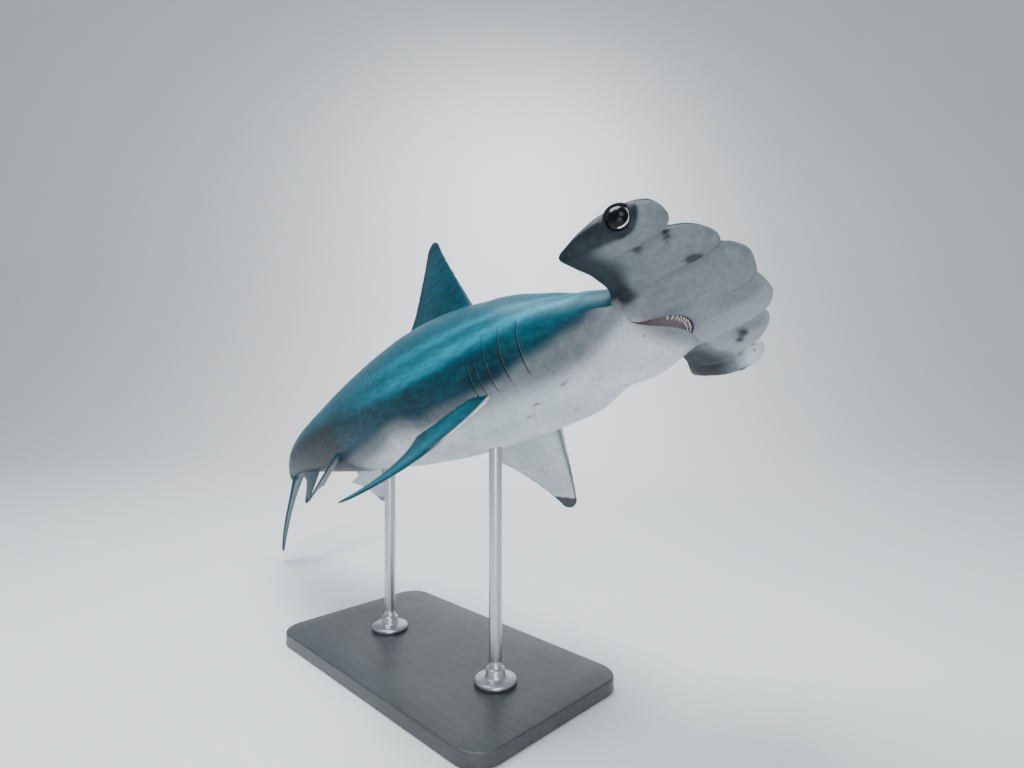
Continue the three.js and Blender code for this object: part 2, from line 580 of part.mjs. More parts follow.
const firstDorsal = () => medianFin({
  up: 1,
  height: 0.112,
  lead: finLead(0.262, 0.077, curve([[-0.12, -0.16], [0, 0], [0.12, 0.14], [0.25, 0.27], [0.5, 0.52], [0.75, 0.78], [0.9, 0.92], [1, 1]])),
  chord: curve([[-0.12, 0.122], [0, 0.114], [0.06, 0.122], [0.12, 0.124], [0.2, 0.114], [0.32, 0.0965], [0.46, 0.0795],
    [0.6, 0.063], [0.73, 0.047], [0.84, 0.035], [0.92, 0.027], [1, 0.0215]]),
  thick: curve([[-0.12, 20], [0, 15], [0.12, 10.5], [0.32, 7.5], [0.6, 5], [1, 2.4]]),
});

const secondDorsal = () => medianFin({
  up: 1,
  height: 0.027,
  lead: finLead(0.622, 0.034, LEAD_SHAPE),
  chord: curve([[-0.12, 0.042], [0, 0.042], [0.1, 0.066], [0.2, 0.058], [0.35, 0.036], [0.6, 0.024], [1, 0.01]]),
  thick: curve([[-0.12, 8], [0, 7], [0.2, 4.5], [0.6, 3], [1, 1.6]]),
});

const analFin = () => medianFin({
  up: -1,
  height: 0.046,
  lead: finLead(0.594, 0.03, LEAD_SHAPE),
  chord: curve([[-0.12, 0.058], [0, 0.056], [0.1, 0.072], [0.2, 0.06], [0.35, 0.04], [0.6, 0.028], [1, 0.013]]),
  thick: curve([[-0.12, 8], [0, 7], [0.2, 4.5], [0.6, 3], [1, 1.6]]),
});

// The two pectoral fins steer, so each has its own droop, sweep and twist in degrees.
const PECTORAL_RIGHT = { side: -1, origin: 0.208, droop: 51.5, sweep: 40.5, twist: 3, bow: -0.0168, wide: 0.86 };
const PECTORAL_LEFT = { side: 1, origin: 0.2195, droop: 43, sweep: 29.5, twist: 7.5, bow: -0.0195, wide: 1.06 };
const PECTORAL_CHORD = curve([[-0.12, 0.07], [0, 0.064], [0.06, 0.08], [0.12, 0.087], [0.2, 0.078], [0.32, 0.064], [0.46, 0.0505],
  [0.6, 0.038], [0.73, 0.0285], [0.84, 0.0215], [0.92, 0.017], [1, 0.014]]);

const pectoralFin = ({ side, origin, droop, sweep, twist, bow, wide }) => pairedFin({
  side,
  twist,
  bow,
  droop: degrees(droop),
  span: PECTORAL_LENGTH * Math.cos(degrees(sweep)),
  root: { y: 0.78 * halfWidth(0.212), z: 0.64 * belly(0.212) },
  lead: finLead(origin, PECTORAL_LENGTH * Math.sin(degrees(sweep)), LEAD_SHAPE),
  chord: (h) => wide * PECTORAL_CHORD(h),
  thick: curve([[-0.12, 17], [0, 14], [0.12, 10], [0.32, 7.5], [0.6, 5], [1, 2.4]]),
});

const pelvicFin = ({ side, droop, sweep, twist, long }) => pairedFin({
  side,
  twist,
  droop: degrees(droop),
  span: long * Math.cos(degrees(sweep)),
  root: { y: 0.5 * halfWidth(0.475), z: 0.87 * belly(0.475) },
  bow: 0.002,
  lead: finLead(0.4745, long * Math.sin(degrees(sweep)), LEAD_SHAPE),
  chord: curve([[-0.12, 0.055], [0, 0.053], [0.12, 0.072], [0.25, 0.061], [0.5, 0.042], [0.75, 0.029], [1, 0.0165]]),
  thick: curve([[-0.12, 9], [0, 8], [0.2, 5], [0.6, 3.4], [1, 1.8]]),
});

// The lower lobe's section rows run from the fork's web down to its tip.
function lowerLobe() {
  const rise = degrees(49);
  const length = 0.143;
  return fin({
    steps: [-0.16, -0.04, 0.04, 0.12, 0.2, 0.32, 0.46, 0.6, 0.73, 0.84, 0.92, 0.97, 1],
    lead: curve([[-0.16, -0.001], [0, 0], [0.5, -0.006], [0.8, -0.0045], [1, 0]]),
    chord: curve([[-0.16, 0.088], [0, 0.08], [0.1, 0.068], [0.2, 0.057], [0.32, 0.0475], [0.46, 0.0385], [0.6, 0.031], [0.73, 0.0245],
      [0.84, 0.0192], [0.92, 0.0155], [1, 0.0125]]),
    thick: curve([[-0.16, 13], [0, 11], [0.12, 8], [0.32, 5.5], [0.6, 4], [1, 2]]),
    at: (along, h, t) => placed(
      STALK_END + 0.004 + h * length * Math.cos(rise) + along,
      t,
      -0.013 - h * length * Math.sin(rise) + along * 0.3 * (1 - clamp01(h)),
    ),
  });
}

// Stand

function rod(s) {
  const under = placed(s, 0, -belly(s) * 0.4);
  const post = new THREE.CylinderGeometry(ROD_RADIUS, ROD_RADIUS, under.z - BASE_THICKNESS - JOINT_GAP, 24);
  post.rotateX(Math.PI / 2);
  post.translate(under.x, under.y, (under.z + BASE_THICKNESS + JOINT_GAP) / 2);
  const foot = new THREE.CylinderGeometry(ROD_RADIUS * 3, ROD_RADIUS * 3.3, 12, 32);
  foot.rotateX(Math.PI / 2);
  foot.translate(under.x, under.y, BASE_THICKNESS + JOINT_GAP + 6);
  return fromGeometry(post).add(fromGeometry(foot));
}

function standBase() {
  const corner = 60;
  const plan = new THREE.Shape();
  const [x, y] = [BASE_LENGTH / 2, BASE_WIDTH / 2];
  plan.moveTo(-x + corner, -y);
  plan.lineTo(x - corner, -y).absarc(x - corner, -y + corner, corner, -Math.PI / 2, 0);
  plan.lineTo(x, y - corner).absarc(x - corner, y - corner, corner, 0, Math.PI / 2);
  plan.lineTo(-x + corner, y).absarc(-x + corner, y - corner, corner, Math.PI / 2, Math.PI);
  plan.lineTo(-x, -y + corner).absarc(-x + corner, -y + corner, corner, Math.PI, Math.PI * 1.5);
  const edge = 4;
  const plate = new THREE.ExtrudeGeometry(plan, {
    depth: BASE_THICKNESS - 2 * edge,
    bevelThickness: edge,
    bevelSize: edge,
    bevelOffset: -edge,
    bevelSegments: 1,
    curveSegments: 6,
  });
  plate.translate(0, 0, edge);
  return fromGeometry(plate);
}

// Assembly

const SLATE = 0x4b5f68;
const PALE = 0xc9d2d2;
const CUT_GROW = JOINT_GAP * 1.5;
const trunkCutter = loft([neckRows, chestRows, bellyRows, stalkRows, lobeRows].flatMap((rows) => rows(CUT_GROW)));
const cut = (made, ...by) => largest(by.reduce((rest, cutterPart) => rest.subtract(cutterPart), made));

const nodes = {
  head: [makeHead(), SLATE],
  eye_right: [eyeBall(-1, EYE.radius), 0x101214],
  eye_left: [eyeBall(1, EYE.radius), 0x101214],
  gill_region: [loft(neckRows()), SLATE],
  torso_front: [loft(chestRows()), SLATE],
  torso_rear: [loft(bellyRows()), SLATE],
  tail_stalk: [loft(stalkRows()), SLATE],
  dorsal_fin_first: [cut(firstDorsal(), trunkCutter), SLATE],
  dorsal_fin_second: [cut(secondDorsal(), trunkCutter), SLATE],
  anal_fin: [cut(analFin(), trunkCutter), SLATE],
  pectoral_fin_right: [cut(pectoralFin(PECTORAL_RIGHT), trunkCutter), SLATE],
  pectoral_fin_left: [cut(pectoralFin(PECTORAL_LEFT), trunkCutter), PALE],
  pelvic_fin_right: [cut(pelvicFin({ side: -1, droop: 54, sweep: 55, twist: 23, long: 0.063 }), trunkCutter), SLATE],
  pelvic_fin_left: [cut(pelvicFin({ side: 1, droop: 35.5, sweep: 38.5, twist: 6, long: 0.058 }), trunkCutter), PALE],
  caudal_fin_upper: [loft(lobeRows()), SLATE],
  caudal_fin_lower: [cut(lowerLobe(), trunkCutter), SLATE],
  stand_base: [standBase(), 0x2b2d30],
  stand_rod_front: [cut(rod(FRONT_ROD), trunkCutter), 0xb8bcc0],
  stand_rod_rear: [cut(rod(REAR_ROD), trunkCutter), 0xb8bcc0],
};

const group = new THREE.Group();
for (const [name, [made, color]] of Object.entries(nodes)) {
  const mesh = new THREE.Mesh(geometryOf(made), new THREE.MeshStandardMaterial({ color, roughness: 0.5 }));
  mesh.name = name;
  group.add(mesh);
}
export default group;
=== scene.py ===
"""A life-size scalloped hammerhead shark, still, on a display stand.

The skin is worked out on a straight body first: station s runs from 0 at the snout to about 1 at the tip
of the tail, as a share of the total length, y is to the left and z is up. The spine then bends, climbs
and banks that straight body into its pose, as the solids do.
"""

import math

import bmesh
import bpy
import numpy as np
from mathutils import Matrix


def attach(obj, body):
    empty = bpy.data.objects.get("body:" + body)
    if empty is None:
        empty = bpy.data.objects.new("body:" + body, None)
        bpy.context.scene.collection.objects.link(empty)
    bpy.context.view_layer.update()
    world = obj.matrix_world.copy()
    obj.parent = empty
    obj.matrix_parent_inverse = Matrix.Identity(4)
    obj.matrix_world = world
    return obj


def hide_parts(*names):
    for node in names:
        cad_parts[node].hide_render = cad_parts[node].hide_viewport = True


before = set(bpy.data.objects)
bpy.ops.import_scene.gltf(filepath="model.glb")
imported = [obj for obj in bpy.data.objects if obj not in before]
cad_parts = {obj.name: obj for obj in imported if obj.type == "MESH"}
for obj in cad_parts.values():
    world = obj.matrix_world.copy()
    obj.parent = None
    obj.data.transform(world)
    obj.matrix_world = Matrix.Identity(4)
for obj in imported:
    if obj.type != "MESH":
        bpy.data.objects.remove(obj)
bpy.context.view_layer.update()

TOTAL_LENGTH = 2.4
# How much stouter the trunk is than its drawn sections.
GIRTH = 1.08
# The station of the spine that stands over the origin, and its height over the floor.
HELD_AT = 0.335
HOLD_HEIGHT = 0.6325
# The photo's camera: its place, its turn about the upright in degrees, and its focal length in pixels.
CAMERA_PLACE = (1.143, -0.886, 0.672)
CAMERA_TURN = 45.0
FOCAL_PIXELS = 593.0
PICTURE_WIDTH = 1024.0
SENSOR_WIDTH = 36.0
SEED = 7


# Curves


def curve(*knots):
    """A monotone cubic through (x, y) knots, level beyond its ends, for whole arrays."""
    x, y = np.array(knots, float).T
    slope = np.diff(y) / np.diff(x)
    tangent = np.concatenate([slope[:1], np.zeros(len(x) - 2), slope[-1:]])
    before, after = slope[:-1], slope[1:]
    same = before * after > 0
    total = np.where(same, before + after, 1.0)
    tangent[1:-1] = np.where(same, 2 * before * after / total, 0.0)

    def value(at):
        at = np.clip(np.asarray(at, float), x[0], x[-1])
        i = np.clip(np.searchsorted(x, at, side="right") - 1, 0, len(x) - 2)
        width = x[i + 1] - x[i]
        t = (at - x[i]) / width
        rise = y[i] + (y[i + 1] - y[i]) * t * t * (3 - 2 * t)
        return rise + width * t * (1 - t) * ((1 - t) * tangent[i] - t * tangent[i + 1])

    return value


def smooth(x):
    """0 below 0, 1 above 1, and an S between."""
    x = np.clip(x, 0, 1)
    return x * x * (3 - 2 * x)


def ramp(x, start, end):
    """0 at the start, 1 at the end, and an S between; the start may be the larger."""
    return smooth((x - start) / (end - start))


def quarter_round(x):
    """A quarter circle that rises from 0 to 1 as x does."""
    return np.sqrt(1 - (1 - np.clip(x, 0, 1)) ** 2)


def bell(x, width):
    """1 at 0, falling off on both sides over a width."""
    return np.exp(-((x / width) ** 2))


def share_of(profile, s):
    """A profile's value at one station, as a plain number."""
    return float(profile(np.array(s)))


def full_turn(count):
    """Angles that go once round, the last one short of the first."""
    return np.linspace(0, 2 * np.pi, count + 1)[:-1]


def as_share(millimetres):
    """Millimetres as a share of the total length."""
    return millimetres / 1000 / TOTAL_LENGTH


# Pose of the spine: heading to the left, nose up and right side up, in degrees

HEADING = curve((0, 15), (0.06, 14.9), (0.1, 14.2), (0.14, 10), (0.25, 1), (0.4, -1.5), (0.55, -2),
                (0.7, -15), (0.8, -45), (0.88, -66), (1, -74))
CLIMB = curve((0, 22), (0.12, 19), (0.25, 15.5), (0.4, 13.5), (0.55, 14.5), (0.7, 19), (1, 22))
BANK = curve((0, 18.5), (0.1, 17), (0.15, 11.5), (0.25, 9), (0.4, 13), (0.55, 15), (0.7, 12), (1, 11))


def body_axes(s):
    """Unit vectors forward, left and up of the body at stations s, each of shape s.shape + (3,)."""
    yaw, pitch, bank = (np.radians(turn(s)) for turn in (HEADING, CLIMB, BANK))
    forward = np.stack([np.cos(pitch) * np.cos(yaw), np.cos(pitch) * np.sin(yaw), np.sin(pitch)], -1)
    level = np.stack([-np.sin(yaw), np.cos(yaw), np.zeros_like(yaw)], -1)
    upright = np.cross(forward, level)
    across, tilt = np.cos(bank)[..., None], np.sin(bank)[..., None]
    return forward, level * across - upright * tilt, upright * across + level * tilt


SPINE_STEPS = 500
spine_stations = np.linspace(0, 1, SPINE_STEPS + 1)
steps = -body_axes((spine_stations[1:] + spine_stations[:-1]) / 2)[0] * TOTAL_LENGTH / SPINE_STEPS
spine = np.concatenate([np.zeros((1, 3)), np.cumsum(steps, axis=0)])


def along_spine(s):
    """The spine's own places at stations s, counted from the snout."""
    return np.stack([np.interp(s, spine_stations, spine[:, axis]) for axis in range(3)], -1)


shift = np.array([0, 0, HOLD_HEIGHT]) - along_spine(np.array(HELD_AT))


def placed(s, y, z):
    """The place in the pose, in metres, of points of the straight body."""
    s, y, z = np.broadcast_arrays(*(np.asarray(value, float) for value in (s, y, z)))
    _, left, up = body_axes(s)
    return along_spine(s) + (left * y[..., None] + up * z[..., None]) * TOTAL_LENGTH + shift


# Sections of the trunk, as shares of the total length

STALK_END = 0.722
HALF_WIDTH = curve((0.02, 0.03), (0.06, 0.044), (0.09, 0.0435), (0.125, 0.0425), (0.16, 0.0508),
                   (0.2, 0.057), (0.25, 0.0595), (0.29, 0.0595), (0.34, 0.0575), (0.385, 0.054),
                   (0.45, 0.0475), (0.5, 0.0415), (0.55, 0.035), (0.6, 0.0278), (0.65, 0.0208),
                   (0.69, 0.0155), (0.72, 0.0118))
BACK = curve((0.02, 0.007), (0.04, 0.0135), (0.06, 0.0195), (0.09, 0.0265), (0.125, 0.0315),
             (0.16, 0.0415), (0.2, 0.0545), (0.25, 0.0655), (0.29, 0.0705), (0.34, 0.0725),
             (0.385, 0.0695), (0.45, 0.0605), (0.5, 0.0515), (0.55, 0.0405), (0.6, 0.0325),
             (0.65, 0.0262), (0.69, 0.0217), (0.72, 0.02))
BELLY = curve((0.02, 0.005), (0.04, 0.0082), (0.06, 0.0112), (0.09, 0.0272), (0.125, 0.0472),
              (0.16, 0.0555), (0.2, 0.0568), (0.25, 0.0585), (0.29, 0.059), (0.34, 0.0575),
              (0.385, 0.0552), (0.45, 0.0505), (0.5, 0.046), (0.55, 0.04), (0.6, 0.033), (0.65, 0.0258),
              (0.69, 0.0202), (0.72, 0.0175))


def stout(s):
    """The trunk's extra girth, which begins behind the head."""
    return 1 + (GIRTH - 1) * ramp(s, 0.1, 0.2)


def half_width(s):
    return HALF_WIDTH(s) * stout(s)


def back(s):
    return BACK(s) * stout(s)


def belly(s):
    return BELLY(s) * stout(s)


# Head: a flat wing with a lobed front edge, a blunt end with the eye, and a swept trailing edge

HEAD_END = 0.13
# The half span of the front edge, and the row where the blunt end turns into the trailing edge.
FRONT_SPAN = 0.1145
END_ROW = 0.43
FRONT_EDGE = curve((0, 0.0108), (0.01, 0.0082), (0.028, 0.0066), (0.044, 0.0122), (0.0535, 0.0187),
                   (0.062, 0.0176), (0.077, 0.0224), (0.0872, 0.0298), (0.0925, 0.0375),
                   (0.0962, 0.0425), (0.1005, 0.0372), (0.1065, 0.034), (FRONT_SPAN, 0.0345))
END_STATION = curve((0, 0.0345), (0.06, 0.0372), (0.12, 0.0436), (0.18, 0.054), (0.25, 0.0685),
                    (0.32, 0.084), (0.38, 0.0955), (END_ROW, 0.0995), (0.5, 0.0974), (0.6, 0.0938),
                    (0.7, 0.0932), (0.78, 0.093), (0.84, 0.0948), (0.9, 0.1015), (1, HEAD_END))
END_SIDE = curve((0, FRONT_SPAN), (0.06, 0.1207), (0.12, 0.126), (0.18, 0.1294), (0.25, 0.1304),
                 (0.32, 0.1284), (0.38, 0.1245), (END_ROW, 0.1178), (0.5, 0.1045), (0.6, 0.086),
                 (0.7, 0.0672), (0.78, 0.0532), (0.84, 0.0468), (0.9, 0.0432),
                 (1, share_of(half_width, HEAD_END)))
MID_STATION = curve((0, 0.0108), (0.06, 0.0145), (0.12, 0.0205), (0.18, 0.0275), (0.25, 0.037),
                    (0.32, 0.047), (0.38, 0.0555), (0.425, 0.0615), (0.5, 0.0715), (0.6, 0.0825),
                    (0.7, 0.0912), (0.78, 0.0965), (0.84, 0.1005), (0.9, 0.1065), (1, HEAD_END))
TRAILING_EDGE = curve((0, 0.114), (0.03, 0.112), (0.042, 0.1045), (0.0468, 0.0952), (0.0532, 0.093),
                      (0.069, 0.0932), (0.086, 0.0938), (0.1045, 0.0974), (0.1178, 0.0995),
                      (0.125, 0.096), (0.131, 0.086))
WING_DROP = curve((0.085, 0.006), (0.094, 0.0072), (0.125, 0))
END_DROP = curve((0.05, 0), (0.13, 0.0035))
ROW_ARCH = 2.2
WING_TOP = curve((0, 0.0078), (0.06, 0.0074), (0.1, 0.0082), (0.12, 0.0112), (0.13, 0.0116))
WING_UNDER = curve((0, 0.009), (0.06, 0.0086), (0.1, 0.0094), (0.12, 0.0106), (0.13, 0.011))
RIDGE = curve((0.07, 0.078), (0.084, 0.07), (0.0895, 0.058), (0.093, 0.0492), (0.0975, 0.0452),
              (0.106, 0.0432), (HEAD_END, share_of(half_width, HEAD_END)))
# How far in from the front edge, the skull's edge and the trailing edge the thickness is rounded off.
FRONT_ROUND = 0.014
CORE_ROUND = 0.03
TRAIL_ROUND = 0.034
THINNEST = 0.00012

front_y = np.linspace(0, FRONT_SPAN, 121)
end_v = np.linspace(0, END_ROW, 81)
front_line = np.stack([FRONT_EDGE(front_y), front_y], -1)
end_line = np.stack([END_STATION(end_v), END_SIDE(end_v)], -1)


def line_distance(line, s, side):
    """Distance from points of the plan to a line: the least over its segments."""
    start, along = line[:-1], np.diff(line, axis=0)
    from_start = np.stack([s, side], -1).reshape(-1, 1, 2) - start
    t = np.clip((from_start * along).sum(-1) / (along**2).sum(-1), 0, 1)
    gap = np.linalg.norm(from_start - along * t[..., None], axis=-1)
    return gap.min(axis=1).reshape(np.shape(s))


def edge_distance(s, side):
    """Distance to the wing's front edge and to its end, drawn together softly where both are near."""
    front = np.maximum(line_distance(front_line, s, side), 1e-6)
    end = np.maximum(line_distance(end_line, s, side), 1e-6)
    return (front**-4 + end**-4) ** -0.25


# Mouth: an arched gape under the head, with the lower jaw dropped a little

MOUTH_ROW = 0.425
MOUTH_HALF = 0.0395
MOUTH_ARCH = 0.0295
GAPE = 0.0172
MOUTH_DEPTH = 0.024
THROAT_LENGTH = 0.062
MOUTH_PULL = curve((0.08, 0), (0.12, 0.1), (0.18, 0.25), (0.25, 0.45), (0.32, 0.65), (0.38, 0.84),
                   (MOUTH_ROW, 1), (0.5, 0.84), (0.6, 0.64), (0.7, 0.45), (0.78, 0.3), (0.84, 0.19),
                   (0.9, 0.09), (1, 0))
ARCH = curve((0, 0), (0.009, 0.0012), (0.018, 0.0055), (0.027, 0.0135), (0.034, 0.0228),
             (MOUTH_HALF, MOUTH_ARCH), (0.045, 0.0265), (0.055, 0.0175), (0.066, 0.0082), (0.08, 0))
VALLEY_DEPTH = 0.0042
# How far back, and how far from the upper lip to the lower, each row inside the mouth lies.
MOUTH_PATH = ((-0.04, 0.03), (0.02, 0.0), (0.14, -0.12), (0.4, -0.3), (0.75, -0.3), (1, -0.05), (1.04, 0.3),
              (0.95, 0.6), (0.7, 0.8), (0.4, 0.87), (0.15, 0.84), (0.04, 0.88), (-0.02, 0.94))
# Share of the gape from the middle of the jaw to the corner of the mouth.
JAW = curve((0, 1), (0.12, 0.95), (0.29, 0.8), (0.5, 0.62), (0.66, 0.46), (0.8, 0.25), (0.92, 0.06),
            (1, 0))


def jaw_drop(s, y):
    """How far the lower jaw is dropped: most at the lip's middle, least at the throat and corners."""
    lip = MID_STATION(MOUTH_ROW) + ARCH(np.minimum(np.abs(y), MOUTH_HALF))
    behind = smooth((s - lip) / THROAT_LENGTH)
    return GAPE * JAW(np.abs(y) / MOUTH_HALF) * (1 - behind)


def head_height(s, y, under):
    """Height of the head's skin from its middle plane: the larger, blended, of a thin wing and a skull."""
    side = np.abs(y)
    reach = edge_distance(s, side)
    trail = np.clip((TRAILING_EDGE(side) - s) / TRAIL_ROUND, 0, 1)
    wing = np.where(under, WING_UNDER(side), WING_TOP(side)) * quarter_round(reach / FRONT_ROUND)
    wing = wing * (1 - (1 - trail) ** 2.2)
    wide = np.maximum(RIDGE(s), half_width(s))
    skirt = 0.5 + 1.6 * (wide / half_width(s) - 1)
    core = np.where(under, belly(s), back(s)) * np.clip(1 - (side / wide) ** 2, 0, 1) ** skirt
    core = core * quarter_round(reach / CORE_ROUND)
    blend = 0.006 * np.clip(np.minimum(wing, core) / 0.004, 0, 1)
    return (wing + core + np.sqrt((wing - core) ** 2 + blend**2)) / 2


def lobe_swell(share, v):
    """The valleys that run back from the notches of the front edge."""
    dip = bell(share, 0.05) + bell(share - 0.467, 0.045) + 0.8 * bell(share - 0.84, 0.022)
    return -VALLEY_DEPTH * np.minimum(1, dip) * ramp(v, 0, 0.06) * ramp(v, 0.48, 0.12)


def head_point(v, share, under, drop):
    """Straight-body place of a head point: row v from 0 at the front edge to 1 at the neck, and share from
    -1 at the right end to 1 at the left. Rows arch with the wing's outline and the mouth, and behind the
    lip the underside is dropped with the jaw where asked."""
    v, share, under = np.broadcast_arrays(np.asarray(v, float), share, under)
    part = np.abs(share)
    front = share_of(END_SIDE, 0)
    y = front * share * np.minimum(1, END_SIDE(v) / front)
    y = y + np.maximum(0, END_SIDE(v) - front) * np.sign(share) * part**8
    arch = part**ROW_ARCH
    s = MID_STATION(v) + (END_STATION(v) - MID_STATION(v)) * arch
    front_arch = MID_STATION(0) + (END_STATION(0) - MID_STATION(0)) * arch
    s = s + (FRONT_EDGE(part * front) - front_arch) * ramp(v, 0.3, 0)
    s = s + np.where(under, ARCH(np.abs(y)) * MOUTH_PULL(v) * (1 - part**3), 0)
    height = head_height(s, y, under)
    height = height + lobe_swell(part, v) * np.where(under, 1, 0.45) * np.clip(height / 0.006, 0, 1)
    if drop:
        height = height + np.where(under & (v >= MOUTH_ROW), jaw_drop(s, y), 0)
    height = np.where((v == 0) | (part > 0.99999), 0, np.maximum(height, THINNEST))
    return s, y, np.where(under, -height, height) - WING_DROP(s) - END_DROP(np.abs(y))


# Skin of the head and trunk: rows of one loop each, from the front edge of the head to the tip of the tail

SIDES = 200
angles = np.arange(SIDES) / SIDES * 2 * np.pi
loop_share = -np.cos(angles)
loop_under = np.sin(angles) < -1e-9


def head_rows():
    """Rows of the wing, closest at its front edge, in at the lip, out along the jaw, and on to the neck."""
    before = MOUTH_ROW * np.linspace(0, 1, 50) ** 1.7
    after = np.linspace(MOUTH_ROW, 1, 42)[1:]
    rows = [head_point(v, loop_share, loop_under, False) for v in before]
    lip = head_point(MOUTH_ROW, loop_share, loop_under, False)
    jaw = head_point(MOUTH_ROW, loop_share, loop_under, True)
    wide = np.abs(lip[1]) / MOUTH_HALF
    inside = loop_under & (wide < 0.985)
    opening = np.sqrt(np.clip(1 - wide**2, 0, 1))
    for inward, fall in MOUTH_PATH:
        s = lip[0] + MOUTH_DEPTH * inward * opening
        y = lip[1] * (1 - 0.12 * max(0, inward))
        z = lip[2] + (jaw[2] - lip[2]) * fall * (1 if fall > 0 else opening)
        deep = np.where(inside, 2 * ramp(inward, -0.02, 0.08), 0)
        rows.append((*(np.where(inside, within, lower) for within, lower in zip((s, y, z), jaw)), deep))
    rows.append(jaw)
    rows += [head_point(v, loop_share, loop_under, True) for v in after]
    return rows


# Gill slits: five curved flaps each side, which overlap backwards: station, top and bottom angle

GILLS = ((0.17, 14, -32), (0.185, 10, -34), (0.1985, 5, -37), (0.209, -4, -37), (0.2158, -6, -36))
GILL_FLAP = 3.2
GILL_DEPTH = 9.0
GILL_BOW = 0.006
FIRST_FLAP = GILLS[0][0] - 0.0055
BEHIND_GILLS = 0.2188
NECK_END = 0.222
# Height of the flap (above 0) and of the slit (below 0) at millimetres behind the slit's front.
GILL_PROFILE = curve((-10.6, 0), (-7, 0.35), (-4, 0.8), (-1.8, 1), (-0.9, 0.85), (-0.3, 0.1), (0.5, -1),
                     (1.3, -0.95), (4.2, 0))
GILL_ROWS = (-10.6, -8.5, -6.5, -5, -3.8, -2.8, -2, -1.3, -0.8, -0.4, 0, 0.5, 1.1, 1.9, 3, 4.2)


def flank_height(angle):
    """Degrees above the side, alike on both flanks, for angles round the trunk."""
    turn = np.degrees(angle) % 360
    return np.where(turn > 180, np.maximum(turn - 360, 180 - turn), np.minimum(turn, 180 - turn))


def gill_open(angle, top, bottom):
    """1 at a slit's middle, falling as an ellipse to 0 at its ends."""
    reach = np.abs(flank_height(angle) - (top + bottom) / 2) / ((top - bottom) / 2)
    return np.sqrt(np.clip(1 - reach**2, 0, 1))


def trunk_row(s, gill=None, offset=0.0):
    """One loop of the trunk: half an ellipse for the back, half for the belly, and a gill's flap or slit."""
    across, upward = np.cos(angles), np.sin(angles)
    station = np.full(SIDES, float(s))
    y = -half_width(station) * across
    z = np.where(upward > 0, back(station), belly(station)) * upward
    lift = np.zeros(SIDES)
    if gill is not None:
        value = share_of(GILL_PROFILE, offset)
        height = value * (GILL_FLAP if value > 0 else GILL_DEPTH - GILL_FLAP)
        lift = as_share(gill_open(angles, gill[1], gill[2]) * height)
    fit = 1 + 2 * lift / (half_width(station) + back(station))
    window = ramp(station, HEAD_END, HEAD_END + 0.03) * ramp(station, NECK_END, NECK_END - 0.0125)
    # How deep into a slit a point lies, which the skin darkens as painted shade; the flap before it gets a
    # value below 0.
    cut = -lift * TOTAL_LENGTH * 1000 / (GILL_DEPTH - GILL_FLAP)
    cut = np.where(lift > 0, 0.5 * cut * ramp(offset, -4, -1), cut)
    return station - GILL_BOW * window * (1 - across**2), y * fit, z * fit, cut


def trunk_rows():
    """Loops of the neck, of each gill slit, and of the trunk down to the end of the stalk."""
    rows = [trunk_row(s) for s in np.linspace(HEAD_END, FIRST_FLAP, 14)[1:]]
    for gill in GILLS:
        rows += [trunk_row(gill[0] + as_share(offset), gill, offset) for offset in GILL_ROWS]
    rows += [trunk_row(s) for s in np.linspace(BEHIND_GILLS, STALK_END, 124)]
    return rows


# Tail fin's upper lobe, which the stalk runs on into

LOBE_RISE = math.radians(36)
LOBE_LENGTH = 0.285
NOTCH_START = 0.2
NOTCH_END = 0.25
LOBE_DEPTH = curve((0, 0.038), (0.03, 0.053), (0.06, 0.061), (0.09, 0.06), (0.12, 0.055),
                   (0.16, 0.0465), (NOTCH_START, 0.0375), (0.222, 0.031), (0.229, 0.0275),
                   (0.234, 0.033), (NOTCH_END, 0.0325), (0.27, 0.0215), (LOBE_LENGTH, 0.006))
LOBE_THICK = curve((0, 0.0123), (0.05, 0.0092), (0.1, 0.0062), (0.15, 0.0045), (0.2, 0.0031),
                   (0.25, 0.002), (LOBE_LENGTH, 0.0012))


def lobe_row(d):
    """A loop across the upper lobe at distance d along its front edge, a lens thicker towards that edge."""
    lean = LOBE_RISE * ramp(d, 0, 0.05)
    top_s = STALK_END + d * math.cos(lean)
    top_z = share_of(back, STALK_END) + d * math.sin(lean)
    stalk_depth = share_of(back, STALK_END) + share_of(belly, STALK_END)
    mix = ramp(d, 0, 0.012)
    depth = stalk_depth + (share_of(LOBE_DEPTH, d) - stalk_depth) * mix
    wide = share_of(half_width, STALK_END) * (1 - mix) + share_of(LOBE_THICK, d) * mix
    blade = 0.45 * ramp(d, 0, 0.08)
    out = depth * (1 - np.sin(angles)) / 2
    y = -wide * np.cos(angles) * (1 + blade * np.sin(angles))
    return top_s + math.sin(lean) * out, y, top_z - math.cos(lean) * out


def lobe_rows():
    """Loops of the upper lobe, closer together at its notch and towards its tip."""
    near = np.linspace(0, NOTCH_START, 46)[1:]
    notch = np.linspace(NOTCH_START, NOTCH_END, 22)[1:]
    tip = NOTCH_END + (LOBE_LENGTH - NOTCH_END) * (1 - (1 - np.linspace(0, 1, 16)[1:]) ** 1.6)
    return [lobe_row(d) for d in (*near, *notch, *tip)]


# Meshes


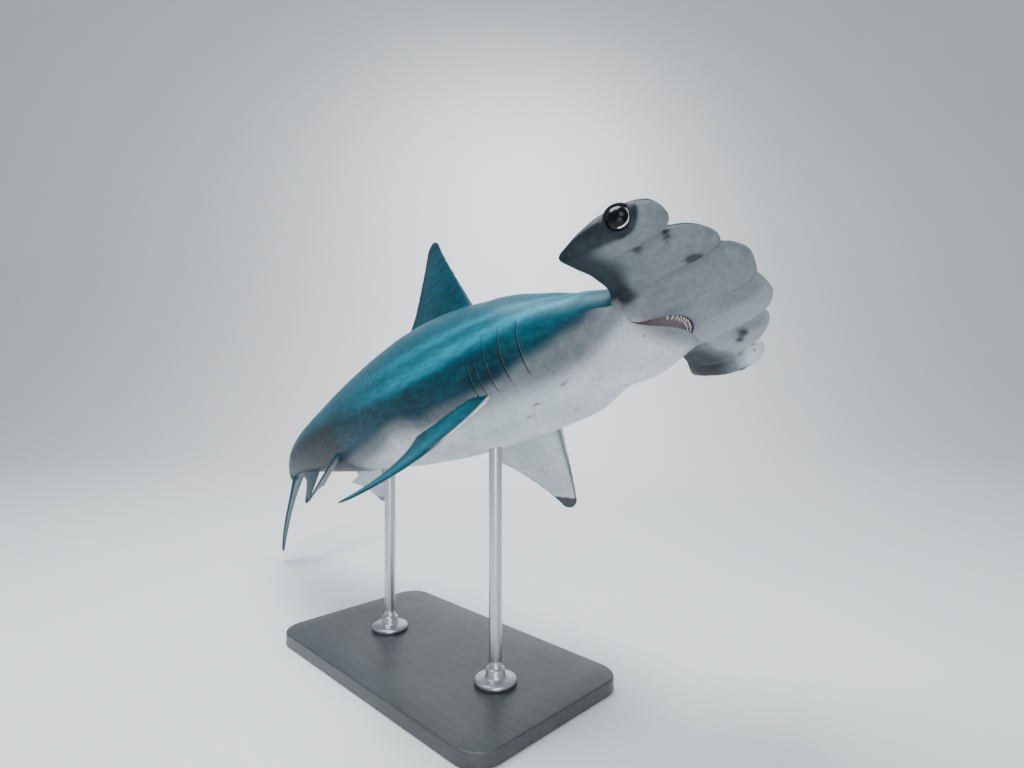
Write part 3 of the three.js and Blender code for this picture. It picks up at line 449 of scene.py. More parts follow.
def grid_mesh(name, points, cap_first, cap_last):
    """A closed mesh over a grid of points (rows, loop, 3). A capped end is a fan round its middle, and equal
    points are merged, so that a flat end closes by itself."""
    rows, loop, _ = points.shape
    index = np.arange(rows * loop).reshape(rows, loop)
    ahead = np.roll(index, -1, axis=1)
    quads = np.stack([index[:-1], ahead[:-1], ahead[1:], index[1:]], -1).reshape(-1, 4)
    faces = quads.tolist()
    vertices = points.reshape(-1, 3)
    for row, wanted, flip in ((0, cap_first, True), (rows - 1, cap_last, False)):
        if wanted:
            middle = np.full(loop, len(vertices))
            vertices = np.concatenate([vertices, points[row].mean(0)[None]])
            ends = (ahead[row], index[row]) if flip else (index[row], ahead[row])
            faces += np.stack([middle, *ends], -1).tolist()
    mesh = bpy.data.meshes.new(name)
    mesh.from_pydata(vertices.tolist(), [], faces)
    return mesh


MERGE_DISTANCE = 2e-6


def tidy(mesh):
    """Merges equal points, drops empty faces and turns the faces outwards."""
    work = bmesh.new()
    work.from_mesh(mesh)
    bmesh.ops.remove_doubles(work, verts=work.verts, dist=MERGE_DISTANCE)
    bmesh.ops.dissolve_degenerate(work, edges=work.edges, dist=1e-7)
    bmesh.ops.recalc_face_normals(work, faces=work.faces)
    work.to_mesh(mesh)
    work.free()


def read_all(items, label, width=1, kind=np.int32):
    """One value of every item as an array, in rows where the value has a width."""
    out = np.zeros(len(items) * width, kind)
    items.foreach_get(label, out)
    return out.reshape(-1, width) if width > 1 else out


def write_vectors(items, label, values):
    """Sets one vector of every item."""
    items.foreach_set(label, values.astype(np.float32).ravel())


def point_values(mesh, name, values):
    """Writes one vector for each vertex as a named attribute."""
    write_vectors(mesh.attributes.new(name, "FLOAT_VECTOR", "POINT").data, "vector", values)


def add_object(name, data):
    """An object of a mesh, a light or a camera, in the scene."""
    piece = bpy.data.objects.new(name, data)
    bpy.context.scene.collection.objects.link(piece)
    return piece


def install(piece, slot, *replaced):
    """Ties a finished piece to the body and hides the solids it takes the place of. The slot is not used."""
    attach(piece, "root")
    if replaced:
        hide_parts(*replaced)


def with_cap_value(values, cap_first, cap_last):
    """The values of a grid, flat, followed by the mean of each capped end."""
    flat = values.reshape(values.shape[0] * values.shape[1], *values.shape[2:])
    extra = [values[row].mean(0)[None] for row, wanted in ((0, cap_first), (-1, cap_last)) if wanted]
    return np.concatenate([flat, *extra])


# Colouring of the skin, worked out at every point

# The straight-body place; tone (0 belly, 1 back, with painted shade and painted highlights on the flank and
# under the head), ink (dark marks, and painted shade under the tail) and cut (inside a slit, darkened as
# painted shade, or the mouth); and shine (streaks of painted highlight), blush (pink patches) and rise
# (height up the flank, or -1 where dark is plain slate).
SKIN_VALUES = ("rest", "hue", "glow")
# Height of the line between dark and pale, 1 at the back and -1 at the belly, against the station. The line
# is the shark's countershading, set lower near the gills as painted shade.
SHADE_LINE = curve((0.1, -0.15), (0.125, -0.22), (0.138, -0.24), (0.154, -0.33), (0.168, -0.37),
                   (0.193, -0.49), (0.22, -0.52), (0.26, -0.52), (0.292, -0.6), (0.317, -0.55),
                   (0.362, -0.66), (0.427, -0.8), (0.48, -0.93), (0.55, -0.98), (0.72, -1.1))
# Degrees above the side at which the streak of painted highlight runs, against the station.
HIGHLIGHT_LINE = curve((0.12, 38), (0.145, 26), (0.171, 18), (0.197, 11), (0.22, 8), (0.3, 0), (0.4, -4),
                    (0.55, 0))
EYE = {"s": 0.0575, "side": 0.1238, "z": -0.0092, "radius": 0.0188}
EYE_FORWARD = 0.25
EYE_DOWN = 0.3
LID_TUBE = 0.0021
# Dark blotches under the head: station, side (left is positive) and size.
BLOTCHES = ((0.0377, -0.0645, 0.0052), (0.0335, -0.0625, 0.0038), (0.0584, -0.1008, 0.0042),
            (0.0396, 0.0615, 0.005), (0.045, 0.07, 0.004))
# Smears along the throat and chest: station, side, length and width.
SMEARS = ((0.1509, -0.0341, 0.006, 0.0011), (0.1765, -0.0329, 0.007, 0.0013), (0.168, -0.02, 0.004, 0.0009),
          (0.135, -0.012, 0.003, 0.0009), (0.19, -0.026, 0.006, 0.001), (0.16, 0.02, 0.005, 0.0012))
# The painted highlight patch on the flank: station, degrees above the side, length and width.
FLANK_HIGHLIGHT = (0.335, -46, 0.032, 13)
# The painted highlight on the end of the left wing: station, side, length and width.
LEFT_END_HIGHLIGHT = (0.0395, 0.11, 0.013, 0.017)
# Station and side of each nostril, and how deep it is pressed in.
NOSTRIL = (0.0405, 0.0945)
NOSTRIL_DENT = 0.0016
# Station, side and height of the fold where the wing's rear meets the neck.
NECK_FOLD = (0.1, 0.044, -0.014)


def patch(s, y, at_s, at_y, long, wide):
    """1 at a place of the underside, falling off over a length and a width."""
    return np.exp(-(((s - at_s) / long) ** 2) - ((y - at_y) / wide) ** 2)


def painted_flank_shade(s, height):
    """Painted shade: the grey that runs down the flank, fading out towards the belly."""
    return (0.37 + 0.11 * ramp(s, 0.1, 0.16)) * ramp(height, -0.95, -0.45)


def trunk_tone(s, height, flank):
    """Dark above the shade line, grey down the flank as painted shade with a painted highlight patch, and
    dark all round at the tail.
    """
    # Softest near the gills, where the wider edge spreads painted shade down the flank.
    soft = 0.24 + 0.22 * ramp(s, 0.2, 0.14) + 0.1 * ramp(s, 0.24, 0.34)
    tone = smooth((height - SHADE_LINE(s) + soft) / (1.8 * soft))
    # Painted highlight: a patch low on each flank behind the pectoral fins is lightened.
    tone = tone * (1 - 0.35 * patch(s, flank, *FLANK_HIGHLIGHT))
    return np.maximum(np.maximum(tone, painted_flank_shade(s, height)), ramp(s, 0.43, 0.49))


def smoke_tone(s, y):
    """The dark band along the wing's trailing edge, wider towards its end and on the left."""
    side = np.abs(y)
    width = 0.03 + 0.022 * ramp(side, 0.065, 0.095) + 0.012 * ramp(y, 0.03, 0.06)
    return 0.95 * (1 - smooth((TRAILING_EDGE(side) - s - 0.003) / width)) * ramp(side, 0.037, 0.055)


def wing_under_tone(s, y, z, reach, height, smoke):
    """Grey, darker towards the right end and in the grooves as painted shade; dark at the end, round the eye
    and in the smoke; lightened at the left tip by a painted highlight.
    """
    side = np.abs(y)
    end = 0.9 * ramp(reach, 0.018, 0.004) * ramp(s, 0.044, 0.054)
    from_eye = np.sqrt((s - EYE["s"]) ** 2 + (side - EYE["side"] - 0.004) ** 2 + (z - EYE["z"]) ** 2)
    round_eye = 0.97 * ramp(from_eye, 0.0165, 0.0105)
    # Painted shade in the grooves that run back from the notches of the front edge.
    groove_shade = bell(side - 0.006, 0.006) + bell(side - 0.0585, 0.006) + 0.8 * bell(side - 0.105, 0.004)
    # Painted shade: the underside darkens towards the right end of the wing.
    grey = 0.3 + 0.15 * ramp(y, 0.05, -0.07)
    grey = grey + 0.08 * groove_shade * ramp(reach, 0, 0.006) * ramp(reach, 0.044, 0.014)
    tone = grey * (1 - 0.85 * ramp(s - 0.6 * side, 0.06, 0.08) * (1 - smoke))
    # The painted shade of the flank runs on under the rear of the head.
    tone = np.maximum(tone, painted_flank_shade(s, height) * ramp(s, 0.075, 0.095))
    tone = np.maximum(tone, np.maximum(np.maximum(smoke, end), round_eye))
    # Painted highlight: the end of the left wing is lightened almost to white.
    return tone * (1 - 0.97 * patch(s, y, *LEFT_END_HIGHLIGHT))


def nostril_marks(s, side):
    """The nostril's slit, and the crease that runs from it to the front edge."""
    along, across = s - NOSTRIL[0], side - NOSTRIL[1]
    slit = patch(along * 0.8 + across * 0.5, across * 0.8 - along * 0.5, 0, 0, 0.0028, 0.006)
    return slit, bell(side - 0.0955, 0.0017) * ramp(s, 0.0425, 0.0385)


def dark_marks(s, y, height, smoke, nostril, wing):
    """Ink of the blotches, the smears, the left smoke and the nostrils, and painted shade under the tail."""
    ink_and_shade = 0.75 * sum(patch(s, y, at_s, at_y, size, size * 1.3) for at_s, at_y, size in BLOTCHES)
    ink_and_shade = ink_and_shade + 0.6 * sum(patch(s, y, *smear) for smear in SMEARS)
    ink_and_shade = ink_and_shade + 0.8 * smoke * ramp(y, 0.04, 0.07) * wing
    # Painted shade along the underside of the rear trunk and the tail stalk.
    ink_and_shade = ink_and_shade + 0.7 * ramp(s, 0.43, 0.49) * ramp(height, 0.1, -0.3) * ramp(s, 0.74, 0.64)
    return np.clip(ink_and_shade + 0.9 * nostril, 0, 1)


def body_colours(s, y, z, cut, wing):
    """The six values of the head and trunk, and where the nostrils press in, from each point's place."""
    side = np.abs(y)
    under = loop_under[None, :]
    at_place = np.clip(z / np.where(z > 0, back(s), belly(s)), -1, 1)
    height = np.where(wing, at_place, np.sin(angles)[None, :])
    flank = np.degrees(np.arcsin(height))
    reach = edge_distance(s, side)
    smoke = smoke_tone(s, y)
    trunk = trunk_tone(s, height, flank)
    below = wing_under_tone(s, y, z, reach, height, smoke)
    at_end = ramp(side, 0.085, 0.105) * ramp(s, 0.05, 0.042)
    above = smooth((quarter_round(reach / FRONT_ROUND) - 0.1 - 0.12 * at_end) / 0.14)
    head = np.where(under, below, np.maximum(above, below))
    tone = np.where(wing, head + (trunk - head) * ramp(s, 0.098, 0.128), trunk)
    slit, crease = nostril_marks(s, side)
    ink_and_shade = dark_marks(s, y, height, smoke, np.maximum(slit, crease), wing) * under
    # Painted highlight: a streak along the upper flank, and a fainter one above it.
    painted_shine = bell(flank - HIGHLIGHT_LINE(s), 7) + 0.6 * bell(flank - HIGHLIGHT_LINE(s) - 17, 5)
    painted_shine = painted_shine * ramp(s, 0.105, 0.135) * ramp(s, 0.49, 0.24) * ramp(tone, 0.4, 0.7)
    slate = np.maximum(under, ramp(side, 0.085, 0.115)) * ramp(s, 0.12, 0.09) * wing
    rise = np.clip(0.42 + flank / 45, 0, 1) * (1 - slate) - slate
    blush = patch(s, y, 0.088, -0.014, 0.014, 0.016) + 0.5 * patch(s, y, 0.12, -0.02, 0.03, 0.02)
    blush = np.clip(blush + 0.8 * patch(s, side, 0.088, 0.036, 0.01, 0.006), 0, 1) * under
    dent = np.maximum(slit, 1.6 * crease) * under * ramp(reach, 0.001, 0.003)
    return (tone, ink_and_shade, cut, painted_shine, blush, rise), dent


def eye_socket(s, y, z):
    """Presses the skin in round each eye, so that the ball stands in a shallow hollow."""
    away = np.sqrt((s - EYE["s"]) ** 2 + (np.abs(y) - EYE["side"] - 0.003) ** 2 + (z - EYE["z"]) ** 2)
    press = 0.0024 * ramp(away, 0.0115, 0.006)
    return s + press * EYE_FORWARD, y - np.sign(y) * press, z + press * EYE_DOWN


def colour_mesh(mesh, rest, values, cap_first, cap_last):
    """Writes the straight-body place, in metres, and the six colour values on a grid mesh."""
    hue, glow = np.stack(values[:3], -1), np.stack(values[3:], -1)
    for label, grid in zip(SKIN_VALUES, (rest, hue, glow)):
        point_values(mesh, label, with_cap_value(grid, cap_first, cap_last))


def dressed_grid(name, places, values, cap_first=True):
    """A closed grid mesh of straight-body places, capped at its end, with its six colour values."""
    mesh = grid_mesh(name, placed(*places), cap_first, True)
    colour_mesh(mesh, np.stack(places, -1) * TOTAL_LENGTH, values, cap_first, True)
    tidy(mesh)
    return add_object(name, mesh)


# Fins: aerofoil sections from a root sunk in the body out to a rounded tip

CHORD_STEPS = (1 - np.cos(np.linspace(0, np.pi, 19))) / 2
FIN_TIP_STEPS = [0.925, 0.945, 0.96, 0.972, 0.982, 0.99, 0.996, 1]
FIN_STEPS = np.concatenate([[-0.12, -0.06], np.linspace(0, 0.9, 22), FIN_TIP_STEPS])
# Half thickness of a fin's edges, in millimetres.
EDGE_HALF = 0.45


def foil(c):
    """Half thickness of a section, 1 at its thickest, against the share of its chord."""
    return np.minimum(1, 2.5856 * np.sqrt(c) * (1 - c) ** 1.05)


def fin_grid(lead, chord, thick, at, steps=FIN_STEPS, ragged=0.0):
    """Places of a fin's sections: at each height h a loop runs back over one face and forward under the
    other. The chord narrows to a round tip, and its rear edge waves a little where it is ragged."""
    h = steps[:, None]
    end = np.where(h < 0.92, 1, np.sqrt(np.clip(1 - ((h - 0.92) / 0.08) ** 2, 0.04, 1)))
    wave = np.sin(h * 61 + 1) + 0.7 * np.sin(h * 97 + 2) + 0.5 * np.sin(h * 143)
    length = chord(h) * end * (1 + ragged * wave * ramp(h, 0.15, 0.35))
    front = lead(h) + (chord(h) - length) * 0.45
    half = np.maximum(thick(h) * (0.35 + 0.65 * end), 2 * EDGE_HALF)
    c = np.concatenate([CHORD_STEPS, CHORD_STEPS[:0:-1]])[None]
    face = np.concatenate([np.ones(len(CHORD_STEPS)), -np.ones(len(CHORD_STEPS) - 1)])[None]
    t = face * as_share(np.where(c > 0, EDGE_HALF + (half - EDGE_HALF) * foil(c), 0))
    return at(front + c * length, h + 0 * c, t), h + 0 * c, c + 0 * h, face + 0 * h


# How far back a leading edge has swept at each height, as a share of its whole sweep.
LEAD_SHAPE = curve((-0.12, -0.1), (0, 0), (0.12, 0.09), (0.25, 0.205), (0.5, 0.445), (0.75, 0.71),
                   (0.9, 0.88), (1, 1))
DORSAL_SHAPE = curve((-0.12, -0.16), (0, 0), (0.12, 0.14), (0.25, 0.27), (0.5, 0.52), (0.75, 0.78),
                     (0.9, 0.92), (1, 1))


def swept(origin, sweep, shape=LEAD_SHAPE):
    """A fin's leading edge: its station at each height."""
    return lambda h: origin + sweep * shape(h)


def on_midline(height, up):
    """Places a fin's section points above the back (up 1) or below the belly (up -1)."""
    base = back if up > 0 else belly
    return lambda s, h, t: (s, t, up * (base(s) - 0.004 + h * height))


def at_side(side, droop, span, root, bow, twist, lead, chord):
    """Places a fin's section points on the right (side -1) or left (side 1) of the body."""
    droop = math.radians(droop)
    pivot = float(lead(0.0) + chord(0.0) / 2)

    def at(s, h, t):
        bend = bow * np.maximum(0, h) ** 2 + (s - pivot) * math.tan(math.radians(twist))
        y = side * (root[0] + math.cos(droop) * h * span + math.sin(droop) * (t - bend))
        return s, y, -root[1] - math.sin(droop) * h * span + math.cos(droop) * (t - bend)

    return at


PECTORAL_LONG = 0.132
PECTORAL_ROOT = 0.212
PELVIC_ROOT = 0.475
SMALL_FIN_THICK = curve((-0.12, 8), (0, 7), (0.2, 4.5), (0.6, 3), (1, 1.6))


def pectoral(side, origin, droop, sweep, twist, bow, wide):
    """Sections of a pectoral fin, from a broad root to a narrow tip, drooping, swept back and bowed."""
    lead = swept(origin, PECTORAL_LONG * math.sin(math.radians(sweep)))
    shape = curve((-0.12, 0.07), (0, 0.064), (0.06, 0.08), (0.12, 0.087), (0.2, 0.078), (0.32, 0.064),
                  (0.46, 0.0505), (0.6, 0.038), (0.73, 0.0285), (0.84, 0.0215), (0.92, 0.017),
                  (1, 0.014))
    thick = curve((-0.12, 17), (0, 14), (0.12, 10), (0.32, 7.5), (0.6, 5), (1, 2.4))
    root = (0.78 * share_of(half_width, PECTORAL_ROOT), 0.64 * share_of(belly, PECTORAL_ROOT))
    reach = PECTORAL_LONG * math.cos(math.radians(sweep))

    def chord(h):
        return wide * shape(h)

    at = at_side(side, droop, reach, root, bow, twist, lead, chord)
    return fin_grid(lead, chord, thick, at, ragged=0.012)


def pelvic(side, droop, sweep, twist, long):
    """Sections of a pelvic fin, small and broad."""
    lead = swept(0.4745, long * math.sin(math.radians(sweep)))
    chord = curve((-0.12, 0.055), (0, 0.053), (0.12, 0.072), (0.25, 0.061), (0.5, 0.042), (0.75, 0.029),
                  (1, 0.0165))
    thick = curve((-0.12, 9), (0, 8), (0.2, 5), (0.6, 3.4), (1, 1.8))
    root = (0.5 * share_of(half_width, PELVIC_ROOT), 0.87 * share_of(belly, PELVIC_ROOT))
    at = at_side(side, droop, long * math.cos(math.radians(sweep)), root, 0.002, twist, lead, chord)
    return fin_grid(lead, chord, thick, at, ragged=0.01)


def first_dorsal():
    """Sections of the tall first fin of the back."""
    chord = curve((-0.12, 0.122), (0, 0.114), (0.06, 0.122), (0.12, 0.124), (0.2, 0.114),
                  (0.32, 0.0965), (0.46, 0.0795), (0.6, 0.063), (0.73, 0.047), (0.84, 0.035),
                  (0.92, 0.027), (1, 0.0215))
    thick = curve((-0.12, 20), (0, 15), (0.12, 10.5), (0.32, 7.5), (0.6, 5), (1, 2.4))
    return fin_grid(swept(0.262, 0.077, DORSAL_SHAPE), chord, thick, on_midline(0.112, 1), ragged=0.008)


def second_dorsal():
    """Sections of the low second fin of the back, long at its root."""
    chord = curve((-0.12, 0.042), (0, 0.042), (0.1, 0.066), (0.2, 0.058), (0.35, 0.036), (0.6, 0.024),
                  (1, 0.01))
    return fin_grid(swept(0.622, 0.034), chord, SMALL_FIN_THICK, on_midline(0.027, 1))


def anal():
    """Sections of the fin under the tail stalk."""
    chord = curve((-0.12, 0.058), (0, 0.056), (0.1, 0.072), (0.2, 0.06), (0.35, 0.04), (0.6, 0.028),
                  (1, 0.013))
    return fin_grid(swept(0.594, 0.03), chord, SMALL_FIN_THICK, on_midline(0.046, -1))


def lower_lobe():
    """Sections of the tail fin's lower lobe, which slants down and back from the end of the stalk."""
    rise, length = math.radians(49), 0.143
    lead = curve((-0.16, -0.001), (0, 0), (0.5, -0.006), (0.8, -0.0045), (1, 0))
    chord = curve((-0.16, 0.088), (0, 0.08), (0.1, 0.068), (0.2, 0.057), (0.32, 0.0475), (0.46, 0.0385),
                  (0.6, 0.031), (0.73, 0.0245), (0.84, 0.0192), (0.92, 0.0155), (1, 0.0125))
    thick = curve((-0.16, 13), (0, 11), (0.12, 8), (0.32, 5.5), (0.6, 4), (1, 2))

    def at(along, h, t):
        s = STALK_END + 0.004 + h * length * math.cos(rise) + along
        return s, t, -0.013 - h * length * math.sin(rise) + along * 0.3 * (1 - np.clip(h, 0, 1))

    steps = np.concatenate([[-0.16, -0.1], FIN_STEPS[1:]])
    return fin_grid(lead, chord, thick, at, steps=steps, ragged=0.008)


def fin_object(name, grid, over, below, tip):
    """A fin with the tone of each face, and how dark its tip and its trailing edge are."""
    places, h, c, face = grid
    lip = ramp(c, 0.04, 0.09)
    tone = np.where(face > 0, over, below + (over - below) * 0.4 * (1 - lip)) + 0 * h
    if below < 0.2:
        tone = tone * (1 - 0.9 * ramp(c, 0.024, 0.004) * ramp(h, 0.55, 0.3))
    edge = ramp(c, 0.95, 0.99) * 0.6 * ramp(h, 0.3, 0.6)
    dark = tip * np.maximum(ramp(h + 0.12 * (c - 0.5), 0.81, 0.87), edge)
    # Painted highlight: a band along the upper face of each fin, a third of the way back.
    painted_shine = 0.5 * bell(c - 0.35, 0.2) * ramp(tone, 0.4, 1.4) * (face > 0)
    return dressed_grid(name, places, (tone, dark, 0 * h, painted_shine, 0 * h, 0 * h + 0.35))


def eye_axes(sign):
    """Where an eye looks, which is out, a little forward and down, and its own forward and up directions."""
    forward, left, up = body_axes(np.array(EYE["s"]))
    out = sign * left + EYE_FORWARD * forward - EYE_DOWN * up
    out = out / np.linalg.norm(out)
    ahead = forward - (forward @ out) * out
    ahead = ahead / np.linalg.norm(ahead)
    return out, ahead, np.cross(ahead, out) * sign


def eye_place(sign):
    """The middle of an eye in the pose."""
    return placed(EYE["s"], sign * EYE["side"], EYE["z"])


def ring_object(sign):
    """The eyelid: a ring round the eye, a circle swept round a circle."""
    out, forward, up = eye_axes(sign)
    turn = full_turn(60)[:, None, None]
    tube = full_turn(16)[None, :, None]
    radius = EYE["radius"] + 0.0008 + LID_TUBE * np.cos(tube)
    ring = radius * (np.cos(turn) * forward + np.sin(turn) * up)
    points = eye_place(sign) + 0.006 * out + ring + LID_TUBE * np.sin(tube) * out
    points = np.concatenate([points, points[:1]])
    mesh = grid_mesh("eyelid", points, False, False)
    shape = points.shape[:2]
    rest = np.broadcast_to(np.array([EYE["s"], sign * EYE["side"], EYE["z"]]) * TOTAL_LENGTH, (*shape, 3))
    inner = ramp(np.broadcast_to(-np.cos(tube[..., 0]), shape), 0.2, 0.8)
    none = 0 * inner
    colour_mesh(mesh, rest, (none + 0.97, 0.5 * inner, none, none, none, none - 1), False, False)
    tidy(mesh)
    return add_object("eyelid", mesh)


def union(body, parts):
    """The body joined with its fins and eyelids into one closed surface."""
    group = bpy.data.collections.new("fins")
    for part in parts:
        part.data.materials.append(fin_marker)
        group.objects.link(part)
    join = body.modifiers.new("join", "BOOLEAN")
    join.operation = "UNION"
    join.operand_type = "COLLECTION"
    join.solver = "MANIFOLD"
    join.collection = group
    bpy.context.view_layer.update()
    joined = bpy.data.meshes.new_from_object(body.evaluated_get(bpy.context.evaluated_depsgraph_get()))
    for part in (body, *parts):
        bpy.data.objects.remove(part)
    bpy.data.collections.remove(group)
    return joined


def neighbour_mean(values, ends, weight):
    """The weighted mean of each vertex's neighbours, by adding up over both ends of every edge."""
    a, b = ends
    count = len(weight)

    def over_neighbours(value):
        return np.bincount(a, value[b], count) + np.bincount(b, value[a], count)

    total = np.stack([over_neighbours(column * weight) for column in values.T], -1)
    number = over_neighbours(weight)
    return total / np.maximum(number, 1e-9)[:, None], number > 0


def seam_reach(mesh, ends, rings):
    """1 on the line where two parts meet, falling to 0 over a number of rings of vertices round it."""
    corner = read_all(mesh.loops, "vertex_index")
    owner = np.repeat(read_all(mesh.polygons, "material_index"), read_all(mesh.polygons, "loop_total"))
    count = len(mesh.vertices)
    on_fin, on_body = (np.bincount(corner, owner == marker, count) > 0 for marker in (1, 0))
    level = (on_fin & on_body).astype(float)
    a, b = ends
    for ring in range(1, rings):
        near = np.zeros(count, bool)
        near[a[level[b] > 0]] = True
        near[b[level[a] > 0]] = True
        level[near & (level == 0)] = 1 - ring / rings
    return level


def fill_values(values, ends):
    """Gives the vertices that the join made new the mean of their neighbours' values."""
    known = (np.abs(values["rest"]).sum(1) > 0).astype(float)
    for _ in range(12):
        if known.all():
            break
        for value in values.values():
            mean, found = neighbour_mean(value, ends, known)
            fill = (known == 0) & found
            value[fill] = mean[fill]
        known = np.maximum(known, fill)


def relax(values, ends, near, rounds):
    """Draws values towards the mean of their neighbours, as far as near says, a number of times."""
    everywhere = np.ones(len(values))
    for _ in range(rounds):
        values += near[:, None] * 0.6 * (neighbour_mean(values, ends, everywhere)[0] - values)


def soften_seams(mesh):
    """Rounds the lines where the parts meet and the fold at the neck, and blends the colouring there."""
    ends = read_all(mesh.edges, "vertices", 2).T
    values = {name: read_all(mesh.attributes[name].data, "vector", 3, np.float32) for name in SKIN_VALUES}
    fill_values(values, ends)
    place = read_all(mesh.vertices, "co", 3, np.float32).astype(float)
    s, y, z = values["rest"].T / TOTAL_LENGTH
    fold_s, fold_side, fold_z = NECK_FOLD
    neck = bell(s - fold_s, 0.009) * bell(np.abs(y) - fold_side, 0.007) * bell(z - fold_z, 0.012)
    relax(place, ends, np.maximum(seam_reach(mesh, ends, 5), neck), 10)
    relax(values["hue"], ends, seam_reach(mesh, ends, 8), 14)
    write_vectors(mesh.vertices, "co", place)
    for name, value in values.items():
        write_vectors(mesh.attributes[name].data, "vector", value)


# Blank materials that tell the body's faces from the fins' until the skin has its own.
body_marker = bpy.data.materials.new("body_marker")
fin_marker = bpy.data.materials.new("fin_marker")

body_rows = head_rows() + trunk_rows() + lobe_rows()
body_places = [np.stack([row[axis] for row in body_rows]) for axis in range(3)]
body_cut = np.stack([row[3] if len(row) > 3 else np.zeros(SIDES) for row in body_rows])
wing_rows = (np.arange(len(body_rows)) < len(head_rows()))[:, None] & np.ones((1, SIDES), bool)
body_values, nostril_dent = body_colours(*body_places, body_cut, wing_rows)
body_places[2] = body_places[2] + NOSTRIL_DENT * nostril_dent
body_places = eye_socket(*body_places)
skin_body = dressed_grid("skin_body", body_places, body_values, cap_first=False)
skin_body.data.materials.append(body_marker)
parts = [
    fin_object("first_dorsal", first_dorsal(), 1.0, 1.0, 0.5),
    fin_object("second_dorsal", second_dorsal(), 0.95, 0.95, 0.3),
    fin_object("anal", anal(), 0.6, 0.6, 0.8),
    fin_object("pectoral_right", pectoral(-1, 0.208, 51.5, 40.5, 3, -0.0168, 0.86), 1.0, 0.05, 0.2),
    fin_object("pectoral_left", pectoral(1, 0.2195, 43, 29.5, 7.5, -0.0195, 1.06), 1.0, 0.03, 1.0),
    fin_object("pelvic_right", pelvic(-1, 54, 55, 23, 0.063), 0.95, 0.6, 0.5),
    fin_object("pelvic_left", pelvic(1, 35.5, 38.5, 6, 0.058), 0.9, 0.05, 0.5),
    fin_object("lower_lobe", lower_lobe(), 0.8, 0.8, 0.4),
    ring_object(-1),
    ring_object(1),
]
skin_mesh = union(skin_body, parts)
soften_seams(skin_mesh)
skin_mesh.materials.clear()
skin_mesh.name = "skin"
skin_mesh.shade_smooth()
skin = add_object("skin", skin_mesh)


# Materials


class Socket:
    """A value in a material's node tree that takes part in sums."""

    def __init__(self, maker, socket):
        self.maker, self.socket = maker, socket

    def math(self, operation, other):
        return self.maker.node("ShaderNodeMath", {"operation": operation}, (self, other))

    def __add__(self, other):
        return self.math("ADD", other)

    def __mul__(self, other):
        return self.math("MULTIPLY", other)

    def __sub__(self, other):
        return self.math("SUBTRACT", other)

    def __rsub__(self, other):
        return self.maker.node("ShaderNodeMath", {"operation": "SUBTRACT"}, (other, self))

    __radd__ = __add__
    __rmul__ = __mul__

    def at_most(self, other):
        return self.math("MINIMUM", other)

    def at_least(self, other):
        return self.math("MAXIMUM", other)

    def between(self, low, high):
        """0 at low, 1 at high, and an S between."""
        inputs = {"Value": self, "From Min": low, "From Max": high}
        return self.maker.node("ShaderNodeMapRange", {"interpolation_type": "SMOOTHSTEP"}, inputs)

    def scaled(self, *factors):
        return self.maker.node("ShaderNodeVectorMath", {"operation": "MULTIPLY"}, (self, factors))


class Finish:
    """A material with one principled shader, its nodes added through one method."""

    def __init__(self, name, **constants):
        self.material = bpy.data.materials.new(name)
        self.material.use_nodes = True
        self.tree = self.material.node_tree
        self.shader = self.tree.nodes["Principled BSDF"]
        for label, value in constants.items():
            self.shader.inputs[label.replace("_", " ")].default_value = value

    def put(self, target, value):
        if isinstance(value, Socket):
            self.tree.links.new(value.socket, target)
        else:
            target.default_value = value

    def node(self, kind, settings=None, inputs=(), output=0):
        made = self.tree.nodes.new(kind)
        for label, value in (settings or {}).items():
            setattr(made, label, value)
        pairs = inputs.items() if isinstance(inputs, dict) else enumerate(inputs)
        for label, value in pairs:
            self.put(made.inputs[label], value)
        return Socket(self, made.outputs[output])

    def attribute(self, name):
        return self.node("ShaderNodeAttribute", {"attribute_name": name}, output="Vector")

    def split(self, vector):
        parts = self.node("ShaderNodeSeparateXYZ", None, (vector,))
        return [Socket(self, socket) for socket in parts.socket.node.outputs]

    def place(self):
        return self.node("ShaderNodeTexCoord", output="Object")

    def noise(self, place, scale, detail, roughness=0.55):
        inputs = {"Vector": place, "Scale": scale, "Detail": detail, "Roughness": roughness}
        return self.node("ShaderNodeTexNoise", None, inputs)

    def spots(self, place, scale):
        return self.node("ShaderNodeTexVoronoi", None, {"Vector": place, "Scale": scale})

    def mix(self, factor, first, second):
        inputs = {0: factor, 6: first, 7: second}
        return self.node("ShaderNodeMix", {"data_type": "RGBA"}, inputs, output=2)

    def bump(self, height, distance, strength, before=None):
        inputs = {"Height": height, "Distance": distance, "Strength": strength}
        if before is not None:
            inputs["Normal"] = before
        return self.node("ShaderNodeBump", None, inputs)

    def finish(self, **values):
        for label, value in values.items():
            self.put(self.shader.inputs[label.replace("_", " ")], value)
        return self.material


def colour(*display):
    """A colour from its display values, 0 to 255, as light."""
    shares = [value / 255 for value in display]
    return (*(((share + 0.055) / 1.055) ** 2.4 if share > 0.04 else share / 12.92 for share in shares), 1)


BELLY_PALE = (colour(184, 193, 198), colour(212, 217, 221))
BELLY_GRAIN = colour(150, 162, 168)
# Grey of the soft edge between dark and pale, and of the painted shade down the flank.
FLANK_GREY_AND_SHADE = (colour(98, 105, 111), colour(112, 120, 126))
BACK_DARK = (colour(18, 42, 52), colour(11, 71, 86))
BACK_CLOUD = colour(22, 88, 104)
BACK_GRAIN = colour(38, 112, 128)
SLATE = (colour(30, 38, 44), colour(46, 54, 60))
# Teal of the painted highlight streaks.
HIGHLIGHT_TEAL = colour(44, 168, 192)
FLECK = colour(66, 74, 82)
SCRATCH = colour(176, 132, 132)
# Colour of the smears, blotches and nostrils, and of the painted shade under the tail.
SMEAR_AND_SHADE = colour(34, 40, 46)
